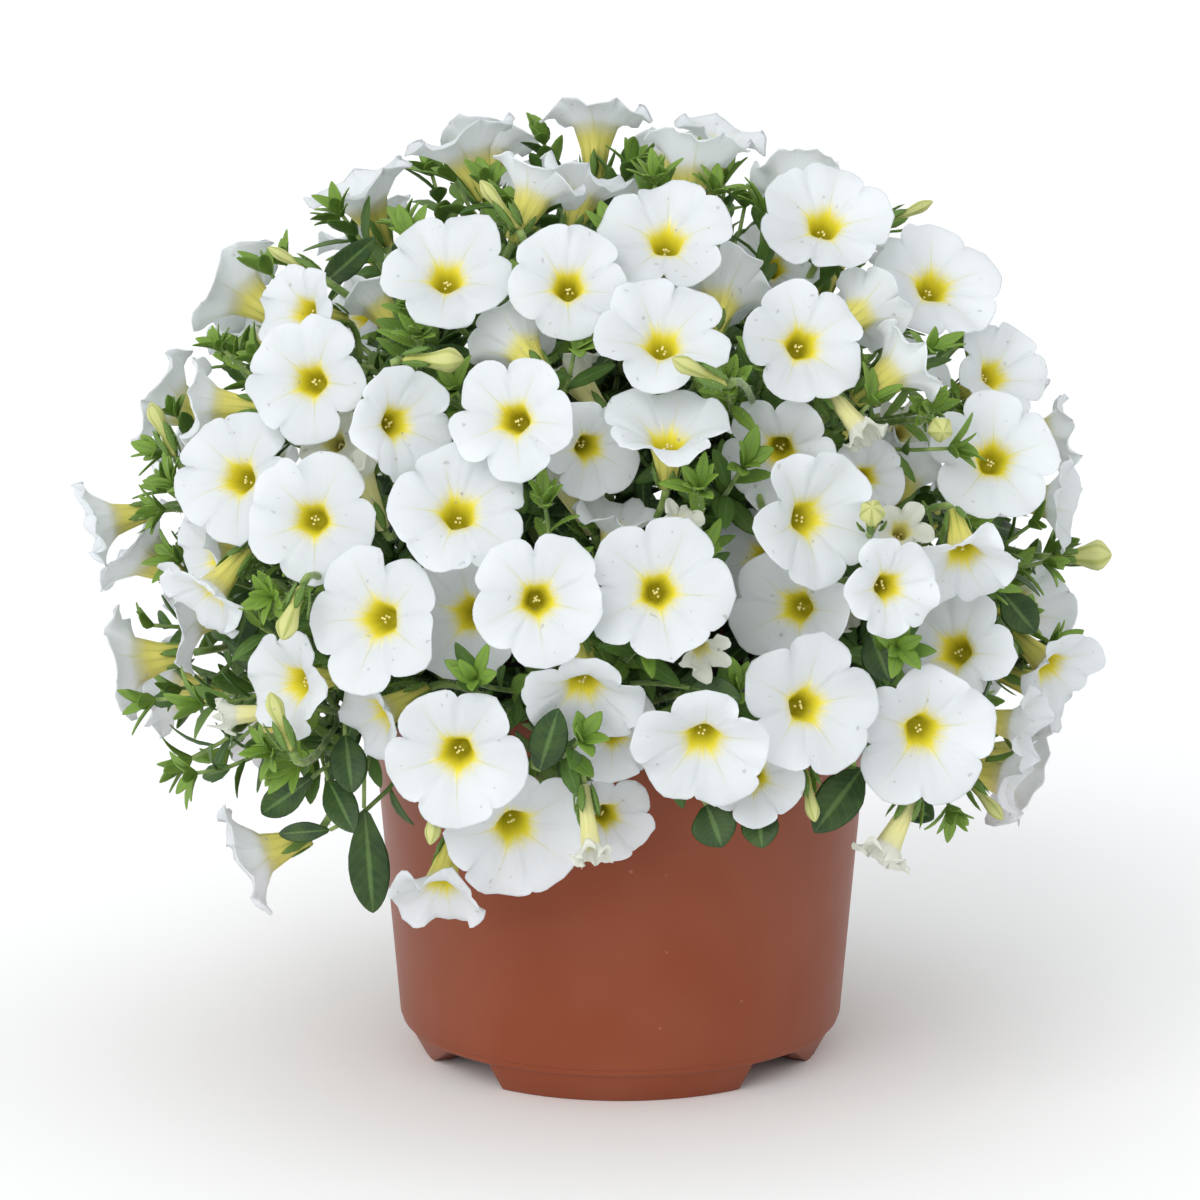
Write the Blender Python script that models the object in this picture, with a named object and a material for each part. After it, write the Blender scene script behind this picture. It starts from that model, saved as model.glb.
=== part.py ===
# A calibrachoa in its growers' pot: pot, soil, leafy stems and sprays of blooms.
# Metres, +Z up. The plant is laid out round the pot's axis, with the ground at Z = 0, and at
# the end everything moves sideways so that the origin is under the middle of the whole.

import math
import random

import bmesh
import bpy
from mathutils import Matrix, Vector
from mathutils.bvhtree import BVHTree

for old in list(bpy.data.objects):
    bpy.data.objects.remove(old, do_unlink=True)

MM = 0.001

# The pot: a 13 cm growers' pot, 10 cm high, on four foot ridges
POT_HEIGHT = 100 * MM
POT_SIDES = 28
LIP_RADIUS = 65 * MM
LIP_HEIGHT = 6 * MM
LIP_EDGE = 0.5 * MM
WALL_TOP_RADIUS = 63.8 * MM
WALL_BOTTOM_RADIUS = 56 * MM
WALL_CHAMFER = 0.7 * MM
WALL_THICKNESS = 1.4 * MM
FLOOR_THICKNESS = 2 * MM
FOOT_STEPS = 4
FOOT_HEIGHT = 7.6 * MM
FOOT_SETBACK = 0.8 * MM
FOOT_DRAFT = 4.8 * MM
FOOT_DEPTH = 5 * MM
# Each foot's middle and half its width at the wall and at the ground, as angles round the pot
FEET = (
    (math.radians(-90), math.radians(37.4), math.radians(36)),
    (math.radians(0), math.radians(39.4), math.radians(20)),
    (math.radians(90), math.radians(37.4), math.radians(36)),
    (math.radians(180), math.radians(39.4), math.radians(20)),
)
DRAIN_COUNT = 4
DRAIN_RADIUS = 4 * MM
DRAIN_SIDES = 6
DRAIN_OFFSET = 30 * MM
SMOOTH_ANGLE = math.radians(35)

# The soil: flat in the middle and a little lower at the wall, with a hole for each stem
SOIL_TOP = 92 * MM
SOIL_DROP = 2 * MM
SOIL_FLAT_RADIUS = 45 * MM
SOIL_GAP = 0.3 * MM
HOLE_RADIUS = 2.3 * MM
HOLE_SIDES = 6
HOLE_DEPTH = 16 * MM

# The ball that the open blooms lie on
BALL_CENTRE = Vector((-6 * MM, 0, 118 * MM))
BALL_RADIUS = 121 * MM

# The eye that the places of the blooms were read from, in a square frame of 1200 pixels
EYE = Vector((-5.2 * MM, -1.35, 0.42))
EYE_PITCH = math.radians(-12.7)
EYE_FOCUS = 5500
FRAME_MIDDLE = 600

# The stems: a ring of low ones that arch over the rim, a ring of high ones, and one upright
STEM_RADIUS = 1.5 * MM
STEM_SIDES = 4
STEM_STEPS = 5
STEM_TAPER = 0.06
STEM_RISE = 16 * MM
STEM_LEAD = 26 * MM
STEM_REACH = 84 * MM
LOW_STEMS = 7
LOW_STEM_OFFSET = 38 * MM
LOW_STEM_SLOPE = -0.09
HIGH_STEMS = 4
HIGH_STEM_OFFSET = 18 * MM
HIGH_STEM_SLOPE = 1.05

# An open bloom: a flat limb of five lobes with a wavy rim, a throat and a tube
RIM_POINTS = 15
RIM_WAVE = 0.7 * MM
NOTCH_SHARE = 0.80
NOTCH_LIFT = 0.6 * MM
LOBE_LIFT = -0.3 * MM
THROAT_DEPTH = 13 * MM
PLAIN_THROAT_DEPTH = 6 * MM
MOUTH_SHARE = 0.30
MOUTH_EXTRA = 1 * MM
MOUTH_DEPTH = 4.4 * MM
NECK_DEPTH = 5.8 * MM
NECK_EXTRA = 0.5 * MM
TUBE_MIDDLE_RADIUS = 2.6 * MM
SIDEWAYS = -0.75
TUBE_END_RADIUS = 2.0 * MM
TUBE_LENGTH = 19 * MM

# A bud: a narrow tube that is still folded shut
BUD_LENGTH = 15 * MM
BUD_MIDDLE = 7 * MM
BUD_SHOULDER = 1.5 * MM
BUD_TIP = 0.5 * MM
BUD_WAIST = 0.6
BUD_END_RADIUS = 1.5 * MM

# The blooms' stalks and their branches
STALK_RADIUS = 0.85 * MM
STALK_TOP_RADIUS = 1.6 * MM
STALK_JOINT_RADIUS = 0.45 * MM
STALK_KNEE = 5 * MM
BRANCH_RADIUS = 1.0 * MM
BRANCH_NECK = 2.2 * MM
FORK_REACH = 90 * MM
FORK_TRIES = ((0.3, 0), (0.15, 6), (0.45, 12), (0.0, 0), (0.3, 20), (0.6, 6), (0.8, 14), (0, 28))
PER_SPRAY = 3.4
SEAT_GAP = 0.35 * MM
SEAT_SLOPE = 0.45
CLEAR = 0.35 * MM

# The far side's blooms, as an even spread over a whole ball of which only that side is kept
FAR_COUNT = 124
FAR_EDGE = -0.15
FAR_LOWEST = -0.46
FAR_TILT = 0.35
FAR_LIFT = 0.25

# The leaves and the side shoots that bear them in clusters
LEAF_THICKNESS = 1.1 * MM
LEAF_ARCH = 0.10
LEAF_RINGS = ((0.30, 0.42), (0.72, 0.47))
LEAF_OUTLINE = ((0, 0), (0.42, 0.30), (0.47, 0.72), (0.0, 1.0), (-0.47, 0.72), (-0.42, 0.30))
SHOOT_RADIUS = 0.9 * MM
SHOOT_BEND = 6 * MM
SHARPEST_BEND = math.radians(75)
SHOOT_TURN = 0.6
SHOOT_SINKS = (9, 5, 13, 17, 1, 22, 27)

# The whorl of leaves at a shoot's tip, on the seen side and on the far side: leaves, length, width,
# lift from flat, and how far below the tip
SEEN_WHORL = (5, 15 * MM, 5.5 * MM, math.radians(34), 3 * MM)
FAR_WHORL = (4, 17 * MM, 6.5 * MM, math.radians(28), 2.5 * MM)
TIP_RISE = 1.2 * MM
WHORL_CLEFT = 1.3 * MM
WHORL_SHOULDER = 0.62
WHORL_SCALES = (1, 0.85, 0.7, 0.55)
FAR_SHOOTS = 71
FAR_SHOOT_LOWEST = -0.44
LEAF_SINKS = (0, 4, -4, 8, -8, 12, 16, 20)
INNER_LEAF_WIDTH = 7.5 * MM
INNER_LEAF_POINTS = (3, 4)
GOLDEN_ANGLE = math.pi * (3 - math.sqrt(5))

# Colours and roughness
POT_LOOK = ((0.30, 0.075, 0.03), 0.45)
SOIL_LOOK = ((0.035, 0.022, 0.015), 0.95)
STEM_LOOK = ((0.10, 0.24, 0.03), 0.5)
SPRAY_LOOK = ((0.85, 0.86, 0.84), 0.5)

# Open and half-open blooms on the side that the eye sees, the nearest first: pixels across and
# down to the middle of the limb, width in mm, and degrees turned right, turned up and rolled
SEEN_BLOOMS = (
    (659, 590, 34.5, 4, 4, -10),
    (309, 519, 32.5, -12, 2, -6),
    (305, 379, 31, -18, 6, -13),
    (568, 280, 30, 0, 20, 0),
    (805, 340, 31.5, 12, 14, 24),
    (996, 455, 33.5, 10, 14, -33),
    (927, 737, 36, 14, -15, -32),
    (703, 752, 33.5, 0, -38, 36),
    (454, 757, 35, -10, -12, 0),
    (458, 505, 34.5, 0, 26, 17),
    (812, 705, 34.5, 22, 2, -32),
    (539, 600, 32, 5, 0, -4),
    (372, 619, 36, -25, 0, 18),
    (518, 836, 36, 15, -30, 10),
    (819, 518, 33.5, 35, 0, -5),
    (826, 216, 33.5, 8, 34, -16),
    (937, 278, 33.5, 18, 30, -32),
    (446, 267, 32.5, -2, 32, 2),
    (667, 233, 33, 2, 35, 33),
    (663, 332, 32, 2, 35, 8),
    (511, 417, 30.5, -14, 8, -10),
    (404, 422, 28.5, 30, 3, 11),
    (462, 615, 33, -25, -3, 36),
    (232, 476, 32.5, -28, 8, -6),
    (790, 607, 31, -20, 0, -12),
    (668, 420, 30, 2, 55, 36),
    (950, 648, 33, -18, 8, -10),
    (967, 572, 27, 15, -50, 36),
    (583, 705, 29.5, 0, -50, 36),
    (436, 905, 25.5, -25, -60, 36),
    (778, 455, 29, -5, -15, 0),
    (1003, 370, 27, 40, 18, 0),
    (593, 450, 25, 20, -10, 10),
    (293, 310, 25, -42, 8, 5),
    (895, 588, 25, 25, -5, 10),
    (282, 686, 28, -50, -8, 0),
    (556, 470, 17, -50, 53, 0),
    (620, 508, 23, 30, 72, 0),
    (868, 440, 13, 60, -48, 0),
    (706, 657, 14, 25, -35, 0),
    (855, 620, 11, 50, -35, 0),
    (593, 860, 11, 20, -70, 0),
    (903, 527, 16, 10, 20, 0),
    (355, 458, 14, -60, 65, 0),
    (683, 515, 11, 20, 40, 0),
    (1062, 677, 26, 50, -35, 20),
    (1035, 728, 22, 75, -10, 0),
    (1022, 782, 24, 82, -12, 0),
    (1070, 503, 26, 78, -5, 0),
    (1072, 430, 20, 100, 5, 0),
    (188, 402, 25, -95, 5, 0),
    (86, 525, 24, -84, -12, 0),
    (195, 560, 26, -70, -5, 0),
    (200, 605, 24, -60, -45, 0),
    (238, 862, 30, -88, -20, 0),
    (218, 716, 10, -95, -5, 0),
    (880, 862, 17, -64, -60, 0),
    (915, 355, 24, 110, 35, 0),
    (920, 452, 24, 115, 56, 0),
    (545, 172, 26, 120, 62, 0),
    (592, 168, 26, 100, 70, 0),
    (697, 140, 26.5, 145, 78, 0),
    (362, 285, 22, -108, 51, 0),
)

# Blooms on that side that show only in part, behind the others, read the same way
BEHIND_BLOOMS = (
    (172, 618, 30, -88, -8, 0),
    (365, 722, 24, -60, -25, 0),
    (795, 172, 25, 180, 55, 0),
    (350, 312, 20, -50, 10, 0),
    (722, 280, 27, 170, 45, 0),
    (510, 335, 24, -150, 30, 0),
    (565, 365, 18, -120, 48, 0),
    (872, 305, 22, 150, 20, 0),
    (612, 820, 22, 20, -15, 0),
    (757, 780, 24, 10, -10, 0),
    (615, 738, 24, 10, -20, 0),
    (775, 262, 22, 10, 20, 0),
    (752, 555, 26, -30, 10, 0),
    (330, 440, 18, -20, 10, 0),
    (905, 430, 18, 20, 10, 0),
    (870, 478, 20, 20, 0, 0),
)

# Buds on that side: pixels to the tip, width in mm, and degrees turned right and turned up
SEEN_BUDS = (
    (480, 180, 4, -90, 52),
    (672, 358, 5, -70, 25),
    (464, 360, 7, 80, 0),
    (150, 402, 5, -100, 65),
    (270, 692, 5, -80, 70),
    (282, 640, 6, -40, -60),
    (430, 845, 4.5, -30, -70),
    (1112, 555, 9, 88, 2),
    (815, 822, 4, 20, -60),
    (1003, 820, 4, 60, -45),
    (933, 201, 3.5, 95, 25),
    (268, 247, 3.5, -95, 30),
    (943, 432, 7, 10, -10),
    (872, 507, 7, 0, 20),
)

# Leafy shoots on that side: pixels to the growing tip, and degrees turned right and turned up
SEEN_SHOOTS = (
    (160, 452, -80, 10),
    (222, 348, -60, 45),
    (418, 338, -10, 60),
    (272, 598, -40, -10),
    (275, 752, -60, 20),
    (728, 388, -10, 50),
    (700, 490, 0, 50),
    (930, 408, 20, 20),
    (1045, 562, 70, 10),
    (950, 808, 30, -30),
    (715, 192, 20, 70),
    (525, 222, -30, 70),
    (862, 378, 40, 50),
    (545, 505, -10, 60),
    (968, 520, 40, 0),
    (655, 182, -20, 80),
    (162, 510, -70, -20),
    (285, 262, -60, 50),
)

# Large leaves on that side: pixels to the base and to the tip, and width in mm
SEEN_LEAVES = (
    (364, 808, 374, 922, 10),
    (312, 778, 256, 818, 8),
    (328, 780, 352, 828, 8),
    (345, 735, 352, 790, 9),
    (330, 830, 278, 834, 5),
    (706, 805, 722, 846, 11),
    (758, 808, 762, 846, 9),
    (862, 768, 818, 828, 11),
    (322, 285, 366, 246, 7),
    (252, 590, 238, 642, 9),
    (1002, 592, 1036, 632, 9),
    (870, 632, 890, 682, 9),
    (690, 688, 738, 698, 8),
    (560, 210, 604, 198, 6),
    (1018, 532, 974, 520, 5),
    (905, 800, 932, 818, 7),
    (1008, 664, 1040, 646, 5),
    (540, 770, 556, 716, 9),
)

wave_draws = random.Random(7)
far_draws = random.Random(11)
leaf_draws = random.Random(13)

node_bodies = {}
placed = []


def sight(across, down):
    """The unit line of sight through a pixel of the frame."""
    forward = Vector((0, math.cos(EYE_PITCH), math.sin(EYE_PITCH)))
    up = Vector((0, -math.sin(EYE_PITCH), math.cos(EYE_PITCH)))
    right = Vector((1, 0, 0))
    ray = EYE_FOCUS * forward + (across - FRAME_MIDDLE) * right - (down - FRAME_MIDDLE) * up
    return ray.normalized()


def on_ball(ray, radius):
    """Where a line of sight meets the ball, or passes nearest to its middle."""
    nearest = (BALL_CENTRE - EYE).dot(ray)
    miss = (BALL_CENTRE - EYE - nearest * ray).length
    return EYE + (nearest - math.sqrt(max(radius**2 - miss**2, 0))) * ray


def turned(ray, right_degrees, up_degrees):
    """The direction that is turned so far right and up from facing the eye along this line of sight."""
    across = Vector((1, 0, 0))
    across = (across - across.dot(ray) * ray).normalized()
    up = across.cross(ray).normalized()
    turn = math.radians(right_degrees)
    lift = math.radians(up_degrees)
    flat = math.sin(turn) * across - math.cos(turn) * ray
    return (math.cos(lift) * flat + math.sin(lift) * up).normalized()


def set_facing(position, facing, top):
    """A matrix at this position with +Z along facing and +Y as near to top as it can be."""
    y = (top - top.dot(facing) * facing).normalized()
    x = y.cross(facing)
    return Matrix.Translation(position) @ Matrix((x, y, facing)).transposed().to_4x4()


def ring(place, radius, height, count, shape=None):
    """Points round the +Z axis of a place; shape gives each one's share of the radius and its lift."""
    points = []
    for i in range(count):
        angle = 2 * math.pi * i / count
        share, lift = shape(i) if shape else (1, 0)
        across = radius * share
        points.append(place @ Vector((across * math.sin(angle), across * math.cos(angle), height + lift)))
    return points


def zipped(first, count, second, other):
    """Triangles between two rings of points, given each one's first index and count."""
    if count == 1 or other == 1:
        apex, start, around = (first, second, other) if count == 1 else (second, first, count)
        return [(apex, start + i, start + (i + 1) % around) for i in range(around)]
    faces = []
    i = j = 0
    while i < count or j < other:
        a = first + i % count
        b = second + j % other
        if j == other or (i < count and (i + 0.5) / count <= (j + 0.5) / other):
            i += 1
            faces.append((a, first + i % count, b))
        else:
            j += 1
            faces.append((a, second + j % other, b))
    return faces


def skinned(rings):
    """One closed body over rings of points, from end to end: its points and its faces."""
    points = []
    faces = []
    starts = []
    for one in rings:
        starts.append(len(points))
        points.extend(one)
    for k in range(len(rings) - 1):
        faces += zipped(starts[k], len(rings[k]), starts[k + 1], len(rings[k + 1]))
    for k in (0, len(rings) - 1):
        if len(rings[k]) > 1:
            faces.append(tuple(range(starts[k], starts[k] + len(rings[k]))))
    return points, faces


def shell_of(body):
    """The body as a bmesh with its faces pointing out."""
    points, faces = body
    bm = bmesh.new()
    verts = [bm.verts.new(point) for point in points]
    for face in faces:
        bm.faces.new([verts[i] for i in face])
    bmesh.ops.recalc_face_normals(bm, faces=bm.faces)
    bm.normal_update()
    return bm


def search_tree(body, swell=0.0):
    """A search tree of a body that is swollen by this much, with its middle and its reach."""
    bm = shell_of(body)
    for vert in bm.verts:
        vert.co += swell * vert.normal
    tree = BVHTree.FromBMesh(bm)
    bm.free()
    middle = sum(body[0], Vector()) / len(body[0])
    reach = max((point - middle).length for point in body[0]) + swell
    return tree, middle, reach


def is_clear(node, body, seat=None):
    """Whether a body keeps clear of every one in another node; it may come within the gap of its seat."""
    tree, middle, reach = search_tree(body, CLEAR)
    for other, its_tree, its_middle, its_reach in placed:
        if other in (node, seat) or (its_middle - middle).length > reach + its_reach:
            continue
        if tree.overlap(its_tree):
            return False
    if seat:
        tree = search_tree(body)[0]
        return not any(tree.overlap(its_tree) for other, its_tree, _, _ in placed if other == seat)
    return True


def keep(node, body):
    """Adds a body to its node, where the next ones must keep clear of it."""
    node_bodies.setdefault(node, []).append(body)
    placed.append((node, *search_tree(body)))


def bezier(a, b, c, d, share):
    rest = 1 - share
    return rest**3 * a + 3 * rest**2 * share * b + 3 * rest * share**2 * c + share**3 * d


def tube_rings(path, radii, count, side=Vector((0.3, 0.2, 1))):
    """Rings of points along a path, each facing back along it, turned as little as they can be."""
    rings = []
    for k, point in enumerate(path):
        before = path[max(k - 1, 0)]
        after = path[min(k + 1, len(path) - 1)]
        place = set_facing(point, (before - after).normalized(), side)
        side = place.to_3x3() @ Vector((0, 1, 0))
        rings.append(ring(place, radii[k], 0, count))
    return rings


def add_object(name, mesh, look):
    """An object with its own material, of this colour and roughness."""
    colour, roughness = look
    material = bpy.data.materials.new(name)
    material.use_nodes = True
    shader = material.node_tree.nodes["Principled BSDF"]
    shader.inputs["Base Color"].default_value = (*colour, 1)
    shader.inputs["Roughness"].default_value = roughness
    mesh.materials.append(material)
    obj = bpy.data.objects.new(name, mesh)
    bpy.context.scene.collection.objects.link(obj)
    return obj


def spun(profile, sides):
    """A bmesh of a closed profile, given as radius and height, turned round the Z axis."""
    bm = bmesh.new()
    verts = [bm.verts.new((radius, 0, height)) for radius, height in profile]
    edges = [bm.edges.new((verts[k], verts[(k + 1) % len(verts)])) for k in range(len(verts))]
    bmesh.ops.spin(
        bm,
        geom=verts + edges,
        cent=(0, 0, 0),
        axis=(0, 0, 1),
        angle=2 * math.pi,
        steps=sides,
        use_merge=True,
        use_duplicate=False,
    )
    bmesh.ops.dissolve_degenerate(bm, dist=0.00001, edges=bm.edges)
    bmesh.ops.remove_doubles(bm, verts=bm.verts, dist=0.00001)
    bmesh.ops.recalc_face_normals(bm, faces=bm.faces)
    return bm


def as_mesh(name, bm):
    mesh = bpy.data.meshes.new(name)
    bm.to_mesh(mesh)
    bm.free()
    return mesh


def add_cutter(name, mesh, collection):
    """A guide that only shapes another object."""
    obj = bpy.data.objects.new(name, mesh)
    obj.hide_render = True
    obj.display_type = "WIRE"
    collection.objects.link(obj)
    return obj


def combined(obj, others, operation, solver="EXACT"):
    """Applies one Boolean with a collection of other objects, which it then removes."""
    modifier = obj.modifiers.new("combined", "BOOLEAN")
    modifier.operation = operation
    modifier.operand_type = "COLLECTION"
    modifier.collection = others
    modifier.solver = solver
    bpy.context.view_layer.update()
    mesh = bpy.data.meshes.new_from_object(obj.evaluated_get(bpy.context.evaluated_depsgraph_get()))
    obj.modifiers.clear()
    obj.data = mesh
    for other in list(others.objects):
        bpy.data.objects.remove(other, do_unlink=True)
    bpy.data.collections.remove(others)


def new_collection(name):
    collection = bpy.data.collections.new(name)
    bpy.context.scene.collection.children.link(collection)
    return collection


def wall_radius(height):
    """The outer radius of the pot's wall at a height."""
    share = (height - FOOT_HEIGHT) / (POT_HEIGHT - FOOT_HEIGHT)
    return WALL_BOTTOM_RADIUS + share * (WALL_TOP_RADIUS - WALL_BOTTOM_RADIUS)


def foot_ridge(middle, half_top, half_bottom):
    """One ridge that the pot stands on: a stretch of ring that tapers to the ground."""
    outer = WALL_BOTTOM_RADIUS - FOOT_SETBACK
    sunk = FOOT_HEIGHT + FLOOR_THICKNESS / 2
    bm = bmesh.new()
    loops = []
    for i in range(FOOT_STEPS + 1):
        share = 2 * i / FOOT_STEPS - 1
        low = middle + share * half_bottom
        high = middle + share * half_top
        corners = (
            (outer - FOOT_DRAFT, low, 0),
            (outer, high, sunk),
            (outer - FOOT_DRAFT - FOOT_DEPTH, high, sunk),
            (outer - FOOT_DRAFT - FOOT_DEPTH, low, 0),
        )
        loops.append([bm.verts.new((r * math.cos(a), r * math.sin(a), z)) for r, a, z in corners])
    for before, after in zip(loops, loops[1:]):
        for k in range(4):
            bm.faces.new((before[k], before[(k + 1) % 4], after[(k + 1) % 4], after[k]))
    bm.faces.new(loops[0])
    bm.faces.new(loops[-1])
    bmesh.ops.triangulate(bm, faces=bm.faces)
    bmesh.ops.recalc_face_normals(bm, faces=bm.faces)
    return as_mesh("foot_ridge", bm)


def post(name, x, y, z, radius, sides, length):
    """An upright cutter of this length, centred on a point."""
    bm = bmesh.new()
    place = Matrix.Translation((x, y, z))
    bmesh.ops.create_cone(
        bm, cap_ends=True, segments=sides, radius1=radius, radius2=radius, depth=length, matrix=place
    )
    return as_mesh(name, bm)


def build_pot():
    """The pot: a drafted wall with a lip, a raised floor with drain holes, and four foot ridges."""
    base = FOOT_HEIGHT
    floor = base + FLOOR_THICKNESS
    lip_bottom = POT_HEIGHT - LIP_HEIGHT
    profile = (
        (0, base),
        (WALL_BOTTOM_RADIUS - WALL_CHAMFER, base),
        (WALL_BOTTOM_RADIUS, base + WALL_CHAMFER),
        (wall_radius(lip_bottom), lip_bottom),
        (LIP_RADIUS, lip_bottom + LIP_EDGE),
        (LIP_RADIUS, POT_HEIGHT - LIP_EDGE),
        (LIP_RADIUS - LIP_EDGE, POT_HEIGHT),
        (WALL_TOP_RADIUS - WALL_THICKNESS, POT_HEIGHT),
        (wall_radius(floor) - WALL_THICKNESS, floor),
        (0, floor),
    )
    pot = add_object("pot", as_mesh("pot", spun(profile, POT_SIDES)), POT_LOOK)
    feet = new_collection("feet")
    for foot in FEET:
        add_cutter("foot_guide", foot_ridge(*foot), feet)
    combined(pot, feet, "UNION")
    drains = new_collection("drains")
    for k in range(DRAIN_COUNT):
        angle = 2 * math.pi * (k + 0.5) / DRAIN_COUNT
        x = DRAIN_OFFSET * math.cos(angle)
        y = DRAIN_OFFSET * math.sin(angle)
        drain = post("drain", x, y, floor, DRAIN_RADIUS, DRAIN_SIDES, 4 * FLOOR_THICKNESS)
        add_cutter("drain_guide", drain, drains)
    combined(pot, drains, "DIFFERENCE")
    pot.data.shade_smooth()
    pot.data.set_sharp_from_angle(angle=SMOOTH_ANGLE)
    return pot


def build_soil(holes):
    """The soil that fills the pot, a little lower at the wall, with a plain hole for each stem."""
    floor = FOOT_HEIGHT + FLOOR_THICKNESS + SOIL_GAP
    inset = WALL_THICKNESS + SOIL_GAP
    edge = SOIL_TOP - SOIL_DROP
    profile = (
        (0, floor),
        (wall_radius(floor) - inset, floor),
        (wall_radius(edge) - inset, edge),
        (SOIL_FLAT_RADIUS, SOIL_TOP),
        (0, SOIL_TOP),
    )
    soil = add_object("soil", as_mesh("soil", spun(profile, POT_SIDES)), SOIL_LOOK)
    cutters = new_collection("holes")
    for hole in holes:
        cutter = post("hole", hole.x, hole.y, SOIL_TOP, HOLE_RADIUS, HOLE_SIDES, 2 * HOLE_DEPTH)
        add_cutter("hole_guide", cutter, cutters)
    combined(soil, cutters, "DIFFERENCE")
    return soil


def stem_layout():
    """Each stem's place in the soil and the direction from the ball's middle that it grows to."""
    stems = []
    for k in range(LOW_STEMS):
        angle = 2 * math.pi * (k + 0.25) / LOW_STEMS
        out = Vector((math.cos(angle), math.sin(angle), 0))
        stems.append((LOW_STEM_OFFSET * out, (out + Vector((0, 0, LOW_STEM_SLOPE))).normalized()))
    for k in range(HIGH_STEMS):
        angle = 2 * math.pi * (k + 0.5) / HIGH_STEMS
        out = Vector((math.cos(angle), math.sin(angle), 0))
        stems.append((HIGH_STEM_OFFSET * out, (out + Vector((0, 0, HIGH_STEM_SLOPE))).normalized()))
    stems.append((Vector((0, 0, 0)), Vector((0, 0, 1))))
    return stems


def stem_path(foot, direction):
    """A stem's points from its hole in the soil up and out to its end inside the ball."""
    bottom = foot + Vector((0, 0, SOIL_TOP - HOLE_DEPTH + 1 * MM))
    top = foot + Vector((0, 0, SOIL_TOP + 1 * MM))
    end = BALL_CENTRE + STEM_REACH * direction
    lift = top + Vector((0, 0, STEM_RISE))
    lead = end - STEM_LEAD * direction + Vector((0, 0, 3 * MM))
    return [bottom] + [bezier(top, lift, lead, end, k / STEM_STEPS) for k in range(STEM_STEPS + 1)]


class Bloom:
    """One bloom: its place, with +Z out of its throat, half its width, and whether it is plain or a bud."""

    def __init__(self, place, half, plain=False, bud=False):
        self.place = place
        self.half = half
        self.plain = plain
        self.bud = bud
        self.facing = place.to_3x3() @ Vector((0, 0, 1))
        self.top = place.to_3x3() @ Vector((0, 1, 0))
        self.end = place.translation - (BUD_LENGTH if bud else TUBE_LENGTH) * self.facing
        self.waves = [wave_draws.uniform(-RIM_WAVE, RIM_WAVE) for _ in range(RIM_POINTS)]

    def rim_shape(self, i):
        """A notch at every third point of the rim, and a lobe between."""
        if i % 3 == 0:
            return NOTCH_SHARE, self.waves[i] + NOTCH_LIFT
        return 1.0, self.waves[i] + LOBE_LIFT

    def rings(self):
        """The rings of the body, from the bottom of the throat over the rim to the end of the tube."""
        place = self.place
        if self.bud:
            return [
                [place @ Vector((0, 0, BUD_TIP))],
                ring(place, self.half, -BUD_SHOULDER, 4),
                ring(place, BUD_WAIST * self.half + 0.3 * MM, -BUD_MIDDLE, 4),
                ring(place, BUD_END_RADIUS, -BUD_LENGTH, 3),
            ]
        mouth = MOUTH_SHARE * self.half + MOUTH_EXTRA
        rim = ring(place, self.half, 0, RIM_POINTS, self.rim_shape)
        neck = ring(place, mouth + NECK_EXTRA, -NECK_DEPTH, 5)
        end = ring(place, TUBE_END_RADIUS, -TUBE_LENGTH, 3)
        if self.plain:
            return [[place @ Vector((0, 0, -PLAIN_THROAT_DEPTH))], rim, neck, end]
        throat = [place @ Vector((0, 0, -THROAT_DEPTH))]
        lip = ring(place, mouth, -MOUTH_DEPTH, 5)
        rings = [throat, lip, rim, neck, end]
        if self.facing.y > SIDEWAYS:
            rings.insert(-1, ring(place, TUBE_MIDDLE_RADIUS, -THROAT_DEPTH, 5))
        return rings


def bloom_guard(place, half, bud):
    """A plain round stand-in, a little larger than a bloom, that keeps blooms clear of each other."""
    if bud:
        tip = [place @ Vector((0, 0, 2 * MM))]
        return skinned([tip, ring(place, half + 1 * MM, 0, 6), ring(place, 2.4 * MM, -16 * MM, 6)])
    mouth = MOUTH_SHARE * half + MOUTH_EXTRA
    rings = [[place @ Vector((0, 0, -5 * MM))]]
    for radius, height, count in (
        (half + 0.5 * MM, 1.2 * MM, 12),
        (half + 0.5 * MM, -1.4 * MM, 12),
        (mouth + 1.2 * MM, -7 * MM, 6),
        (3.2 * MM, -14 * MM, 6),
        (2.6 * MM, -TUBE_LENGTH - 1 * MM, 6),
    ):
        rings.append(ring(place, radius, height, count))
    rings.append([place @ Vector((0, 0, -TUBE_LENGTH - 3 * MM))])
    return skinned(rings)


def settled(place, half, push, taken, moves, bud=False):
    """The place moved along push, by the first of these moves that clears the blooms that have theirs."""
    for move in moves:
        moved = Matrix.Translation(move * push) @ place
        tree, middle, reach = search_tree(bloom_guard(moved, half, bud))
        if not any(
            (its_middle - middle).length < reach + its_reach and tree.overlap(its_tree)
            for its_tree, its_middle, its_reach in taken
        ):
            taken.append((tree, middle, reach))
            return moved
    return None


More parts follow.
